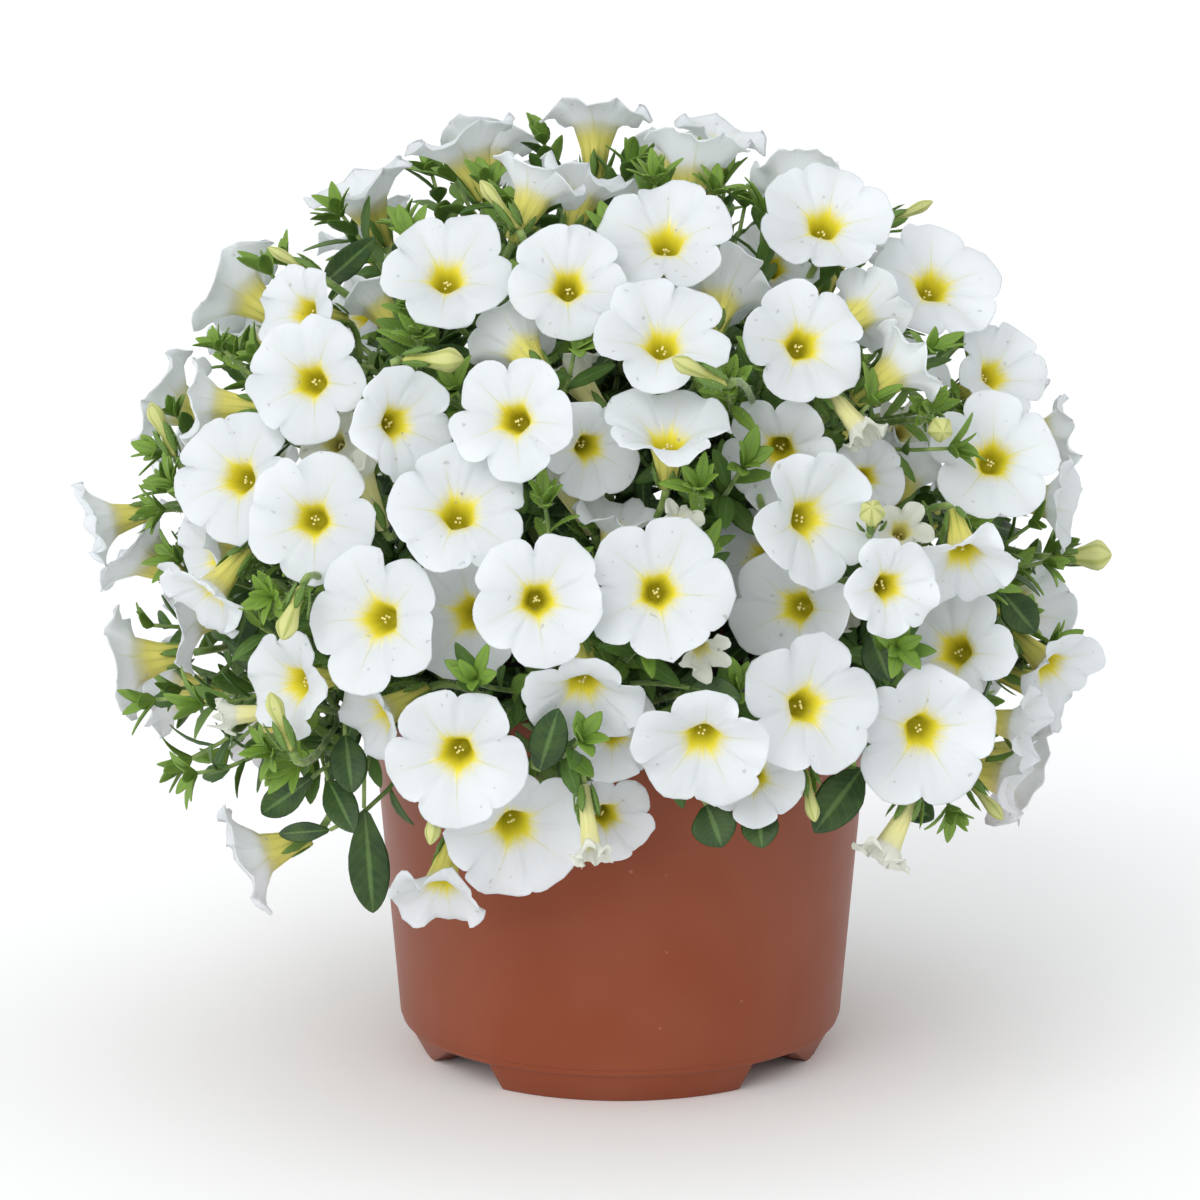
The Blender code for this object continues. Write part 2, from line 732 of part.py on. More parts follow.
def seen_blooms(taken):
    """The blooms and buds of the seen side, each on its line of sight."""
    near_or_far = [0.0]
    for k in range(1, 50):
        near_or_far += [k * MM, -k * MM] if k < 14 else [k * MM]
    only_far = [k * MM for k in range(50)]
    rows = [(row, BALL_RADIUS, near_or_far, False) for row in SEEN_BLOOMS]
    rows += [(row, BALL_RADIUS - 10 * MM, only_far, True) for row in BEHIND_BLOOMS]
    blooms = []
    for (across, down, width, right, up, roll), reach, moves, plain in rows:
        ray = sight(across, down)
        lean = math.radians(roll)
        top = turned(ray, 90, 0) * math.sin(lean) + turned(ray, 0, 90) * math.cos(lean)
        place = set_facing(on_ball(ray, reach), turned(ray, right, up), top)
        half = width / 2 * MM
        moved = settled(place, half, ray, taken, moves)
        if moved:
            blooms.append(Bloom(moved, half, plain=plain))
    for across, down, width, right, up in SEEN_BUDS:
        ray = sight(across, down)
        place = set_facing(on_ball(ray, BALL_RADIUS + 4 * MM), turned(ray, right, up), turned(ray, 10, 80))
        half = width / 2 * MM
        moved = settled(place, half, ray, taken, near_or_far, bud=True)
        if moved:
            blooms.append(Bloom(moved, half, bud=True))
    return blooms


def spread(count, start):
    """Directions that cover a whole ball evenly, each turned by the golden angle from the last."""
    for k in range(count):
        rise = 1 - 2 * (k + 0.5) / count
        turn = (k + start) * GOLDEN_ANGLE
        flat = math.sqrt(1 - rise**2)
        yield Vector((flat * math.sin(turn), flat * math.cos(turn), rise))


def far_blooms(taken):
    """The blooms of the far side, that face out and a little up."""
    blooms = []
    for out in spread(FAR_COUNT, 0):
        half = far_draws.uniform(13, 17) * MM
        tilt = Vector([far_draws.uniform(-FAR_TILT, FAR_TILT) for _ in range(3)])
        top = Vector([far_draws.uniform(-1, 1) for _ in range(3)])
        if out.y < FAR_EDGE or out.z < FAR_LOWEST:
            continue
        facing = (out + tilt + Vector((0, 0, FAR_LIFT))).normalized()
        place = set_facing(BALL_CENTRE + BALL_RADIUS * out, facing, top)
        moved = settled(place, half, -out, taken, [k * MM for k in range(14)])
        if moved:
            blooms.append(Bloom(moved, half, plain=True))
    return blooms


def nearest_stem(stems, point):
    """The number of the stem whose sector of the ball a point is in."""
    out = (point - BALL_CENTRE).normalized()
    return max(range(len(stems)), key=lambda k: stems[k][1].dot(out))


def share_out(blooms, stems):
    """The sprays of each stem: its blooms, in the order round it, cut into runs of about three."""
    sprays = []
    for number, (_, direction) in enumerate(stems):
        inverse = set_facing(BALL_CENTRE, direction, Vector((0.3, 0.1, 1))).inverted()
        mine = [bloom for bloom in blooms if nearest_stem(stems, bloom.end) == number]
        mine.sort(key=lambda bloom: math.atan2((inverse @ bloom.end).y, (inverse @ bloom.end).x))
        count = max(1, round(len(mine) / PER_SPRAY))
        for k in range(count):
            run = mine[k * len(mine) // count : (k + 1) * len(mine) // count]
            if run:
                sprays.append((number, run))
    return sprays


def bends(direction, size):
    """Small sideways shifts to try in turn, none first, for a path that runs along direction."""
    place = set_facing(Vector(), direction, Vector((0.2, 0.3, 1))).to_3x3()
    shifts = [Vector()]
    for reach in (0.5, 1.0, 1.6):
        for k in range(6):
            angle = math.pi * k / 3
            shifts.append(place @ Vector((math.cos(angle), math.sin(angle), 0)) * reach * size)
    return shifts


def seat_on(stem_tree, start, target):
    """The point short of a stem's surface, by the seat gap, on the way from start to target."""
    way = (target - start).normalized()
    hit, normal, _, _ = stem_tree.ray_cast(start, way)
    if hit is None or abs(way.dot(normal)) < SEAT_SLOPE:
        return None
    return hit - way * SEAT_GAP / abs(way.dot(normal))


def stalk_rings(bloom, joint, lean):
    """A bloom's stalk, which leaves its tube straight and then turns to the joint."""
    knee = bloom.end - STALK_KNEE * bloom.facing + lean
    radii = (STALK_TOP_RADIUS, STALK_RADIUS, STALK_JOINT_RADIUS)
    return tube_rings([bloom.end, knee, joint], radii, 3, bloom.top)


def lead_rings(bloom, fork, middle, seat):
    """The leading stalk of a spray: past the fork it is the branch, which ends in a point at the stem."""
    knee = bloom.end - STALK_KNEE * bloom.facing
    neck = seat + BRANCH_NECK * (middle - seat).normalized()
    radii = (STALK_TOP_RADIUS, STALK_RADIUS, BRANCH_RADIUS, BRANCH_RADIUS, BRANCH_RADIUS)
    return tube_rings([bloom.end, knee, fork, middle, neck], radii, 3, bloom.top) + [[seat]]


def stalks_to(node, others, fork, middle):
    """The bodies of the other blooms of a spray with their stalks, or None if one finds no clear way."""
    bodies = []
    for k, bloom in enumerate(others):
        joint = fork + (middle - fork) * (0.15 + 0.7 * k / max(len(others), 1))
        tries = bends((joint - bloom.end).normalized(), 3 * MM)
        tried = (stalk_rings(bloom, joint, lean) for lean in tries)
        stalk = next((rings for rings in tried if is_clear(node, skinned(rings))), None)
        if stalk is None:
            return None
        bodies.append(skinned(bloom.rings() + stalk[1:]))
    return bodies


def grow_spray(node, stem_node, stem_tree, path, direction, run):
    """The bodies of one spray: the leading bloom with the branch, and the others with their stalks."""
    mean = sum(((bloom.end - BALL_CENTRE).normalized() for bloom in run), Vector()).normalized()
    nearest = min((bloom.end - BALL_CENTRE).length for bloom in run)
    for shift in bends(mean, 9 * MM):
        for share, drop in FORK_TRIES:
            reach = min(FORK_REACH, nearest - 7 * MM) - drop * MM
            fork = BALL_CENTRE + reach * (mean + share * (direction - mean)).normalized() + shift
            for target in (path[-2], path[-3], path[-1], path[-4]):
                seat = seat_on(stem_tree, fork, target)
                if seat is None or (fork - seat).length < 8 * MM:
                    continue
                way = (fork - seat).normalized()
                lead = max(run, key=lambda bloom: (bloom.end - fork).normalized().dot(way))
                others = [bloom for bloom in run if bloom is not lead]
                for bend in bends(way, 4 * MM)[:7]:
                    middle = (fork + seat) / 2 + bend
                    rings = lead_rings(lead, fork, middle, seat)
                    if not is_clear(node, skinned(rings), stem_node):
                        continue
                    bodies = stalks_to(node, others, fork, middle)
                    if bodies is not None:
                        return [skinned(lead.rings() + rings[1:])] + bodies
    return None


def leaf_body(base, tip, normal, width):
    """One thin leaf from base to tip, blunt, arched a little, and thickest along its middle."""
    along = tip - base
    length = along.length
    place = set_facing(base, (normal - normal.dot(along) / length**2 * along).normalized(), along)
    arch = LEAF_ARCH * length
    rim = [place @ Vector((x * width, y * length, arch * (0.25 - (y - 0.5) ** 2))) for x, y in LEAF_OUTLINE]
    crown = place @ Vector((0, 0.5 * length, 0.25 * arch + LEAF_THICKNESS / 2))
    belly = place @ Vector((0, 0.5 * length, 0.25 * arch - LEAF_THICKNESS / 2))
    return skinned([[crown], rim, [belly]])


def whorl_rim(place, count, length, width, lift):
    """The rim of a whorl of leaves: each leaf's tip and shoulder, a cleft, and the next one's shoulder."""
    reaches = [length * leaf_draws.uniform(0.8, 1.0) for _ in range(count)]
    rim = []
    for k, reach in enumerate(reaches):
        turn = 2 * math.pi * k / count
        step = 2 * math.pi / count
        near = WHORL_SHOULDER * reach
        far = WHORL_SHOULDER * reaches[(k + 1) % count]
        for radius, angle in (
            (reach, turn),
            (near, turn + math.atan2(width / 2, near)),
            (WHORL_CLEFT, turn + step / 2),
            (far, turn + step - math.atan2(width / 2, far)),
        ):
            flat = radius * math.cos(lift)
            point = Vector((flat * math.sin(angle), flat * math.cos(angle), radius * math.sin(lift)))
            rim.append(place @ point)
    return rim


def with_whorl(run, heading, scale, whorl):
    """A shoot's body: a tube along its run that goes over into a whorl of leaves and ends in a point."""
    count, length, width, lift, below = whorl
    along = ((run[-1] - run[-2]).normalized() + SHOOT_TURN * heading).normalized()
    side = Vector((0.3, 0.2, 1))
    under = run[-1] - (below + LEAF_THICKNESS / 2) * along
    rings = []
    for point in (run[0], run[1], under):
        rings.append(ring(set_facing(point, along, side), SHOOT_RADIUS, 0, 3))
    place = set_facing(run[-1] - below * along, along, side)
    rings.append(whorl_rim(place, count, scale * length, scale * width, lift))
    rings.append([run[-1] + TIP_RISE * along])
    return skinned(rings)


def with_leaf(run, width, normal):
    """A shoot's body that goes over into one leaf at the end of its run: a tube, two flat rings, a point."""
    along = (run[-1] - run[-2]).normalized()
    length = (run[-1] - run[-2]).length
    stalk = tube_rings(run, [SHOOT_RADIUS] * 4, 3, normal)[:3]
    rise = LEAF_THICKNESS / 2
    flat = []
    for share, half_share in LEAF_RINGS:
        place = set_facing(run[-2] + share * length * along, -along, normal)
        half = half_share * width
        corners = ((0, rise, 0), (half, 0, 0), (0, -rise, 0), (-half, 0, 0))
        flat.append([place @ Vector(corner) for corner in corners])
    return skinned(stalk + flat + [[run[-1]]])


def grow_path(node, path, points, body_of):
    """The first body along a way from one of a stem's points over these points that is smooth and clear."""
    for k in (-2, -3, -1, -4):
        for bend in bends((points[0] - path[k]).normalized(), SHOOT_BEND):
            run = [path[k], (path[k] + points[0]) / 2 + bend, *points]
            steps = [after - before for before, after in zip(run, run[1:])]
            if max(before.angle(after) for before, after in zip(steps, steps[1:])) > SHARPEST_BEND:
                continue
            body = body_of(run)
            if is_clear(node, body):
                return body
    return None


def grow_shoot(stems, paths, tips, heading, whorl):
    """A side shoot with a whorl to the first of these tips that can be reached, as large as it has room."""
    number = nearest_stem(stems, tips[0])
    node = f"stem_{number + 1:02d}"
    for tip in tips:
        for scale in WHORL_SCALES:
            body = grow_path(
                node, paths[number], [tip], lambda run: with_whorl(run, heading, scale, whorl)
            )
            if body:
                keep(node, body)
                return


def grow_seen_leaf(stems, paths, row):
    """One large leaf of the seen side on its own side shoot, as near the surface as it finds room."""
    base_across, base_down, tip_across, tip_down, width = row
    ray = sight(base_across, base_down)
    for sink in LEAF_SINKS:
        base = on_ball(ray, BALL_RADIUS - (14 + sink) * MM)
        tip = on_ball(sight(tip_across, tip_down), BALL_RADIUS - (5 + sink) * MM)
        number = nearest_stem(stems, base)
        node = f"stem_{number + 1:02d}"
        body = grow_path(node, paths[number], [base, tip], lambda run: with_leaf(run, width * MM, -ray))
        if body:
            keep(node, body)
            return


def grow_inner_leaves(paths):
    """Broad leaves that stand on the stems themselves, inside the ball."""
    for number, path in enumerate(paths):
        node = f"stem_{number + 1:02d}"
        for j in INNER_LEAF_POINTS:
            along = (path[j] - path[j - 1]).normalized()
            place = set_facing(path[j], along, Vector((0.2, 0.1, 1))).to_3x3()
            for attempt in range(5):
                turn = 2.4 * (j + 3 * number) + 1.1 * attempt
                out = place @ Vector((math.cos(turn), math.sin(turn), 0.8)).normalized()
                tip = path[j] + leaf_draws.uniform(17, 24) * MM * out
                leaf = leaf_body(path[j], tip, along, INNER_LEAF_WIDTH)
                if is_clear(node, leaf):
                    keep(node, leaf)
                    break


def join_node(name, look):
    """Makes one object of a node's bodies by one Boolean union."""
    bodies = node_bodies[name]
    obj = add_object(name, as_mesh(name, shell_of(bodies[0])), look)
    if len(bodies) > 1:
        others = new_collection(name + "_repeats")
        for body in bodies[1:]:
            add_cutter("repeat", as_mesh("repeat", shell_of(body)), others)
        combined(obj, others, "UNION", "MANIFOLD")


def add_obstacle(name, obj):
    """Makes the plant keep clear of an object that is already built."""
    points = [vert.co.copy() for vert in obj.data.vertices]
    faces = [tuple(polygon.vertices) for polygon in obj.data.polygons]
    placed.append((name, *search_tree((points, faces))))


def centre_whole():
    """Moves everything sideways until the origin is under the middle of the whole."""
    points = [vert.co for obj in bpy.context.scene.objects for vert in obj.data.vertices]
    x = (min(point.x for point in points) + max(point.x for point in points)) / 2
    y = (min(point.y for point in points) + max(point.y for point in points)) / 2
    for obj in bpy.context.scene.objects:
        obj.data.transform(Matrix.Translation((-x, -y, 0)))


stems = stem_layout()
paths = [stem_path(foot, direction) for foot, direction in stems]
add_obstacle("pot", build_pot())
add_obstacle("soil", build_soil([foot for foot, _ in stems]))

stem_trees = []
for number, path in enumerate(paths):
    radii = [STEM_RADIUS * (1 - STEM_TAPER * k) for k in range(len(path))]
    stem = skinned(tube_rings(path, radii, STEM_SIDES))
    keep(f"stem_{number + 1:02d}", stem)
    stem_trees.append(search_tree(stem)[0])

taken = []
blooms = seen_blooms(taken) + far_blooms(taken)
sprays = share_out(blooms, stems)
for k, (_, run) in enumerate(sprays):
    for bloom in run:
        placed.append((f"spray_{k + 1:02d}", *search_tree(skinned(bloom.rings()))))
for k, (number, run) in enumerate(sprays):
    node = f"spray_{k + 1:02d}"
    stem_node = f"stem_{number + 1:02d}"
    bodies = grow_spray(node, stem_node, stem_trees[number], paths[number], stems[number][1], run)
    for body in bodies:
        keep(node, body)

for across, down, right, up in SEEN_SHOOTS:
    ray = sight(across, down)
    tips = [on_ball(ray, BALL_RADIUS - sink * MM) for sink in SHOOT_SINKS]
    grow_shoot(stems, paths, tips, turned(ray, right, up), SEEN_WHORL)
for row in SEEN_LEAVES:
    grow_seen_leaf(stems, paths, row)
for out in spread(FAR_SHOOTS, 0.5):
    if out.y > FAR_EDGE and out.z > FAR_SHOOT_LOWEST:
        tips = [BALL_CENTRE + (BALL_RADIUS - sink * MM) * out for sink in SHOOT_SINKS]
        grow_shoot(stems, paths, tips, out, FAR_WHORL)
grow_inner_leaves(paths)

for name in sorted(node_bodies):
    join_node(name, STEM_LOOK if name.startswith("stem") else SPRAY_LOOK)
centre_whole()
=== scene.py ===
import math
import random

import bmesh
import bpy
from mathutils import Matrix, Vector, noise
from mathutils.bvhtree import BVHTree


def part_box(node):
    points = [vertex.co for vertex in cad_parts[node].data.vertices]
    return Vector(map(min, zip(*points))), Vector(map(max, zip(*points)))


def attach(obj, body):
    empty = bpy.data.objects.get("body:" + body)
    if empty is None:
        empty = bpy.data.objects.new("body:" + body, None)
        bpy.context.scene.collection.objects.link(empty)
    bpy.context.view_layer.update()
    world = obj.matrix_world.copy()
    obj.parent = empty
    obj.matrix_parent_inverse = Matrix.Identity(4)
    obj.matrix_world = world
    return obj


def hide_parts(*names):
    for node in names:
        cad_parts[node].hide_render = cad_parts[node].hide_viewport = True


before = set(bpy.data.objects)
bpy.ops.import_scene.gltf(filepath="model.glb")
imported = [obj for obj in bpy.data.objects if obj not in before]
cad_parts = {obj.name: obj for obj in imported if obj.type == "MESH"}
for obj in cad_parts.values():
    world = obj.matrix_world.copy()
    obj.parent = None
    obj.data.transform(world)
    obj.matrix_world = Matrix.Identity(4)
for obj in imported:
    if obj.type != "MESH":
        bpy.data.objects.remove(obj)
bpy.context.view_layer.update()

MM = 0.001

# The pot is a thin growers' pot, moulded in satin brown plastic that carries fine scuffs.
# Its wall, lip and raised floor are one skin of even thickness, turned round the pot's axis,
# and it stands on four ridges under the wall. The floor has four drain holes.
POT_LOW, POT_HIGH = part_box("pot")
AXIS = Vector(((POT_LOW.x + POT_HIGH.x) / 2, (POT_LOW.y + POT_HIGH.y) / 2, 0))
POT_HEIGHT = 100 * MM
POT_SIDES = 112
LIP_RADIUS = 65 * MM
LIP_HEIGHT = 6 * MM
WALL_TOP_RADIUS = 63.8 * MM
WALL_BOTTOM_RADIUS = 56 * MM
WALL_CHAMFER = 0.7 * MM
WALL_THICKNESS = 1.4 * MM
FLOOR_THICKNESS = 2 * MM
STEP_HEIGHT = 9.5 * MM
STEP_DEPTH = 0.35 * MM
FOOT_HEIGHT = 7.6 * MM
FOOT_SETBACK = 0.8 * MM
FOOT_DRAFT = 4.8 * MM
FOOT_DEPTH = 5 * MM
FOOT_ROUND = 0.5 * MM
# Each foot's middle and half its width at the wall and at the ground, in degrees round the pot
FEET = ((-90, 37.4, 36), (0, 39.4, 20), (90, 37.4, 36), (180, 39.4, 20))
DRAIN_COUNT = 4
DRAIN_RADIUS = 4 * MM
DRAIN_OFFSET = 30 * MM
POT_COLOUR = (0.232, 0.050, 0.017, 1)
POT_DUSTY = (0.27, 0.078, 0.038, 1)
POT_SCUFF = (0.50, 0.28, 0.21, 1)


class Wire:
    """A socket in a finish. Arithmetic on it adds Math nodes."""

    def __init__(self, finish, socket):
        self.finish = finish
        self.socket = socket

    def math(self, operation, a, b=0.0):
        return self.finish.node("Math", {"operation": operation}, {0: a, 1: b})

    def __add__(self, other):
        return self.math("ADD", self, other)

    def __radd__(self, other):
        return self.math("ADD", other, self)

    def __sub__(self, other):
        return self.math("SUBTRACT", self, other)

    def __rsub__(self, other):
        return self.math("SUBTRACT", other, self)

    def __mul__(self, other):
        return self.math("MULTIPLY", self, other)

    def __rmul__(self, other):
        return self.math("MULTIPLY", other, self)

    def __truediv__(self, other):
        return self.math("DIVIDE", self, other)

    def __abs__(self):
        return self.math("ABSOLUTE", self)

    def __mod__(self, other):
        return self.math("FLOORED_MODULO", self, other)

    def step(self, low, high):
        """Rises smoothly from 0 to 1 as this goes from low to high."""
        limits = {0: self, 1: low, 2: high, 3: 0.0, 4: 1.0}
        return self.finish.node("MapRange", {"interpolation_type": "SMOOTHSTEP"}, limits)


class Finish:
    """A material under construction."""

    def __init__(self, name):
        self.material = bpy.data.materials.new(name)
        self.material.use_nodes = True
        self.tree = self.material.node_tree
        self.tree.nodes.clear()

    def node(self, kind, settings, sockets, out=0):
        """One node: its settings are made first, then each socket gets its value or its link."""
        made = self.tree.nodes.new("ShaderNode" + kind)
        for name, value in settings.items():
            setattr(made, name, value)
        for key, value in sockets.items():
            if isinstance(value, Wire):
                self.tree.links.new(value.socket, made.inputs[key])
            else:
                made.inputs[key].default_value = value
        return Wire(self, made.outputs[out])

    def place(self):
        """The point on the piece, in metres."""
        return self.node("TexCoord", {}, {}, "Object")

    def speckle(self, scale, detail=2.0, where=None):
        """Soft noise round 0.5 with so many lumps to the metre."""
        vector = where or self.place()
        return self.node("TexNoise", {}, {"Vector": vector, "Scale": scale, "Detail": detail})

    def laid(self):
        """The share round the shape, the share along it and the tone, as laid_round gives them."""
        spot = self.node("UVMap", {"uv_map": "UVMap"}, {})
        across = self.node("SeparateXYZ", {}, {0: spot})
        around = across % 1.0
        return around, self.node("SeparateXYZ", {}, {0: spot}, 1), across - around

    def mix(self, share, first, second):
        return self.node("Mix", {"data_type": "RGBA"}, {0: share, 6: first, 7: second}, 2)

    def bump(self, height, distance, strength=1.0):
        sockets = {"Height": height, "Distance": distance, "Strength": strength}
        return self.node("Bump", {}, sockets)

    def done(self, face, clear=None, share=0.0):
        """The finished material: one surface, or one mixed with a share that lets this colour through."""
        shader = self.node("BsdfPrincipled", {}, face)
        if clear:
            through = self.node("BsdfTranslucent", {}, {"Color": clear})
            shader = self.node("MixShader", {}, {0: share, 1: shader, 2: through})
        output = self.tree.nodes.new("ShaderNodeOutputMaterial")
        self.tree.links.new(shader.socket, output.inputs["Surface"])
        return self.material


def plastic():
    """Satin brown plastic: cloudy on a broad scale, a fine mould grain, a few pale scuffs."""
    finish = Finish("pot_plastic")
    cloud = finish.speckle(38, 1).step(0.35, 0.7)
    colour = finish.mix(cloud * 0.35, POT_COLOUR, POT_DUSTY)
    dots = finish.node("TexVoronoi", {}, {"Vector": finish.place(), "Scale": 190.0})
    rare = finish.speckle(90, 1).step(0.60, 0.66)
    scuff = (1 - dots.step(0.05, 0.14)) * rare
    colour = finish.mix(scuff * 0.55, colour, POT_SCUFF)
    grain = finish.speckle(2600, 0) * 0.3 + finish.speckle(240, 1)
    sockets = {
        "Base Color": colour,
        "Roughness": 0.38 + 0.12 * finish.speckle(60, 1) + scuff * 0.2,
        "Specular IOR Level": 0.28,
        "Normal": finish.bump(grain, 0.00012, 0.35),
    }
    return finish.done(sockets)


def closed(bm):
    """Merges what lies on one point and turns the faces outwards."""
    bmesh.ops.remove_doubles(bm, verts=bm.verts, dist=0.001 * MM)
    bmesh.ops.recalc_face_normals(bm, faces=bm.faces)


def as_mesh(name, bm):
    """Turns a finished shape into a mesh."""
    mesh = bpy.data.meshes.new(name)
    bm.to_mesh(mesh)
    bm.free()
    return mesh


def as_piece(name, bm, finishes, slot, *nodes):
    """Sets a shape that was built round the pot's axis in its place, as a piece of the object."""
    bmesh.ops.translate(bm, verts=bm.verts, vec=AXIS)
    mesh = as_mesh(name, bm)
    for finish in finishes:
        mesh.materials.append(finish)
    mesh.shade_smooth()
    obj = bpy.data.objects.new(name, mesh)
    bpy.context.scene.collection.objects.link(obj)
    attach(obj, "root")
    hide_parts(*nodes)
    return obj


def wall_radius(height):
    """The outer radius of the pot's wall at a height."""
    share = (height - FOOT_HEIGHT) / (POT_HEIGHT - FOOT_HEIGHT)
    return WALL_BOTTOM_RADIUS + share * (WALL_TOP_RADIUS - WALL_BOTTOM_RADIUS)


def rounded(bm, edges, size, segments):
    shape = {"affect": "EDGES", "segments": segments, "profile": 0.5, "material": -1}
    bmesh.ops.bevel(bm, geom=edges, offset=size, **shape)


def pot_wall(bm):
    """The wall, lip and floor, from the middle of the underside over the lip to the middle of the floor."""
    floor = FOOT_HEIGHT + FLOOR_THICKNESS
    lip_bottom = POT_HEIGHT - LIP_HEIGHT
    profile = (
        (0, FOOT_HEIGHT),
        (WALL_BOTTOM_RADIUS - WALL_CHAMFER - STEP_DEPTH, FOOT_HEIGHT),
        (WALL_BOTTOM_RADIUS - STEP_DEPTH, FOOT_HEIGHT + WALL_CHAMFER),
        (wall_radius(STEP_HEIGHT) - STEP_DEPTH, STEP_HEIGHT),
        (wall_radius(STEP_HEIGHT), STEP_HEIGHT + 0.25 * MM),
        (wall_radius(lip_bottom), lip_bottom),
        (LIP_RADIUS, lip_bottom + 0.4 * MM),
        (LIP_RADIUS, POT_HEIGHT),
        (WALL_TOP_RADIUS - WALL_THICKNESS, POT_HEIGHT),
        (wall_radius(floor) - WALL_THICKNESS, floor),
        (0, floor),
    )
    verts = [bm.verts.new((radius, 0, height)) for radius, height in profile]
    edges = [bm.edges.new(pair) for pair in zip(verts, verts[1:])]
    turn = {"cent": (0, 0, 0), "axis": (0, 0, 1), "angle": 2 * math.pi, "steps": POT_SIDES}
    bmesh.ops.spin(bm, geom=verts + edges, use_merge=True, use_duplicate=False, **turn)
    closed(bm)
    sharp = [edge for edge in bm.edges if edge.calc_face_angle(0) > math.radians(30)]
    rounded(bm, sharp, 0.18 * MM, 2)


def pot_foot(bm, middle, half_top, half_bottom):
    """One ridge that the pot stands on, a bent bar that tapers to the ground."""
    bar = bmesh.new()
    bmesh.ops.create_cube(bar, size=2)
    along = [edge for edge in bar.edges if abs(edge.verts[0].co.x - edge.verts[1].co.x) > 1]
    bmesh.ops.subdivide_edges(bar, edges=along, cuts=19, use_grid_fill=True)
    for vert in bar.verts:
        x, y, z = vert.co
        outer = WALL_BOTTOM_RADIUS - FOOT_SETBACK - (0 if z > 0 else FOOT_DRAFT)
        radius = outer if y > 0 else WALL_BOTTOM_RADIUS - FOOT_SETBACK - FOOT_DRAFT - FOOT_DEPTH
        height = FOOT_HEIGHT + FLOOR_THICKNESS / 2 if z > 0 else 0
        angle = math.radians(middle + x * (half_top if z > 0 else half_bottom))
        vert.co = (radius * math.cos(angle), radius * math.sin(angle), height)
    bmesh.ops.recalc_face_normals(bar, faces=bar.faces)
    sharp = [edge for edge in bar.edges if edge.calc_face_angle(0) > math.radians(40)]
    rounded(bar, sharp, FOOT_ROUND, 3)
    mesh = as_mesh("foot", bar)
    bm.from_mesh(mesh)
    bpy.data.meshes.remove(mesh)


def drained(bm):
    """The wall's shape with the drain holes cut through its floor."""
    cutter = bmesh.new()
    for k in range(DRAIN_COUNT):
        angle = 2 * math.pi * (k + 0.5) / DRAIN_COUNT
        spot = (DRAIN_OFFSET * math.cos(angle), DRAIN_OFFSET * math.sin(angle), FOOT_HEIGHT)
        size = {"radius1": DRAIN_RADIUS, "radius2": DRAIN_RADIUS, "depth": 5 * FLOOR_THICKNESS}
        bmesh.ops.create_cone(cutter, cap_ends=True, segments=24, matrix=Matrix.Translation(spot), **size)
    parts = []
    for name, shape in (("wall_blank", bm), ("drain_cutter", cutter)):
        parts.append(bpy.data.objects.new(name, as_mesh(name, shape)))
        bpy.context.scene.collection.objects.link(parts[-1])
    cut = parts[0].modifiers.new("drains", "BOOLEAN")
    cut.operation = "DIFFERENCE"
    cut.object = parts[1]
    bpy.context.view_layer.update()
    wall = bmesh.new()
    wall.from_object(parts[0], bpy.context.evaluated_depsgraph_get())
    for part in parts:
        bpy.data.objects.remove(part, do_unlink=True)
    return wall


pot_shape = bmesh.new()
pot_wall(pot_shape)
pot_shape = drained(pot_shape)
for foot in FEET:
    pot_foot(pot_shape, *foot)
pot = as_piece("growers_pot", pot_shape, [plastic()], "pot", "pot")
pot.data.set_sharp_from_angle(angle=math.radians(35))

# The soil is dark peat with bark crumbs and pale grit, filled loosely to just under the lip.
# Its top is uneven and sinks a little towards the wall.
SOIL_TOP = 92 * MM
SOIL_DROP = 2 * MM
SOIL_GAP = 0.3 * MM
SOIL_FLAT_RADIUS = 45 * MM
SOIL_RINGS = 46
SOIL_SIDES = 150
SOIL_DARK = (0.020, 0.012, 0.008, 1)
SOIL_BARK = (0.085, 0.045, 0.024, 1)
SOIL_GRIT = (0.42, 0.38, 0.32, 1)


def laid_round(bm, around, along, point_at, tone=0, material=0):
    """Bends a grid of faces round a closed shape: point_at gives the point at a share round it and a
    share along it. The whole part of the UV map's first number carries the tone."""
    coat = bm.loops.layers.uv.get("UVMap") or bm.loops.layers.uv.new("UVMap")
    columns = len(around) - 1
    rows = len(along) - 1
    made = bmesh.ops.create_grid(bm, x_segments=columns, y_segments=rows, size=0.5)["verts"]
    for number, vert in enumerate(made):
        u = around[number % (columns + 1)]
        v = along[number // (columns + 1)]
        vert.co = point_at(u % 1, v)
        for loop in vert.link_loops:
            loop[coat].uv = (tone + u, v)
            loop.face.material_index = material


def evenly(count):
    return [k / count for k in range(count + 1)]


def round_point(turn, radius, height=0.0):
    """The point at a turn from +Y towards +X and a distance round the +Z axis."""
    return Vector((radius * math.sin(turn), radius * math.cos(turn), height))


def soil_point(u, v):
    """The soil's skin from the middle of its top to the middle of its underside."""
    floor = FOOT_HEIGHT + FLOOR_THICKNESS + SOIL_GAP
    edge = SOIL_TOP - SOIL_DROP
    inset = WALL_THICKNESS + SOIL_GAP
    rim = wall_radius(edge) - inset
    share = min(v / 0.8, 1)
    radius = share * rim
    if v > 0.8:
        height = edge - min((v - 0.8) / 0.1, 1) * (edge - floor)
        radius = (wall_radius(height) - inset) * min((1 - v) / 0.1, 1)
    else:
        height = SOIL_TOP - SOIL_DROP * max(0, radius - SOIL_FLAT_RADIUS) / (rim - SOIL_FLAT_RADIUS)
        spot = round_point(2 * math.pi * u, radius)
        rough = noise.fractal(spot * 90, 0.8, 2.0, 3) + 0.6 * noise.noise(spot * 420)
        height += min(1.0 * MM, 0.9 * MM * rough) * min(1, (1 - share) * 12)
    return round_point(2 * math.pi * u, radius, height)


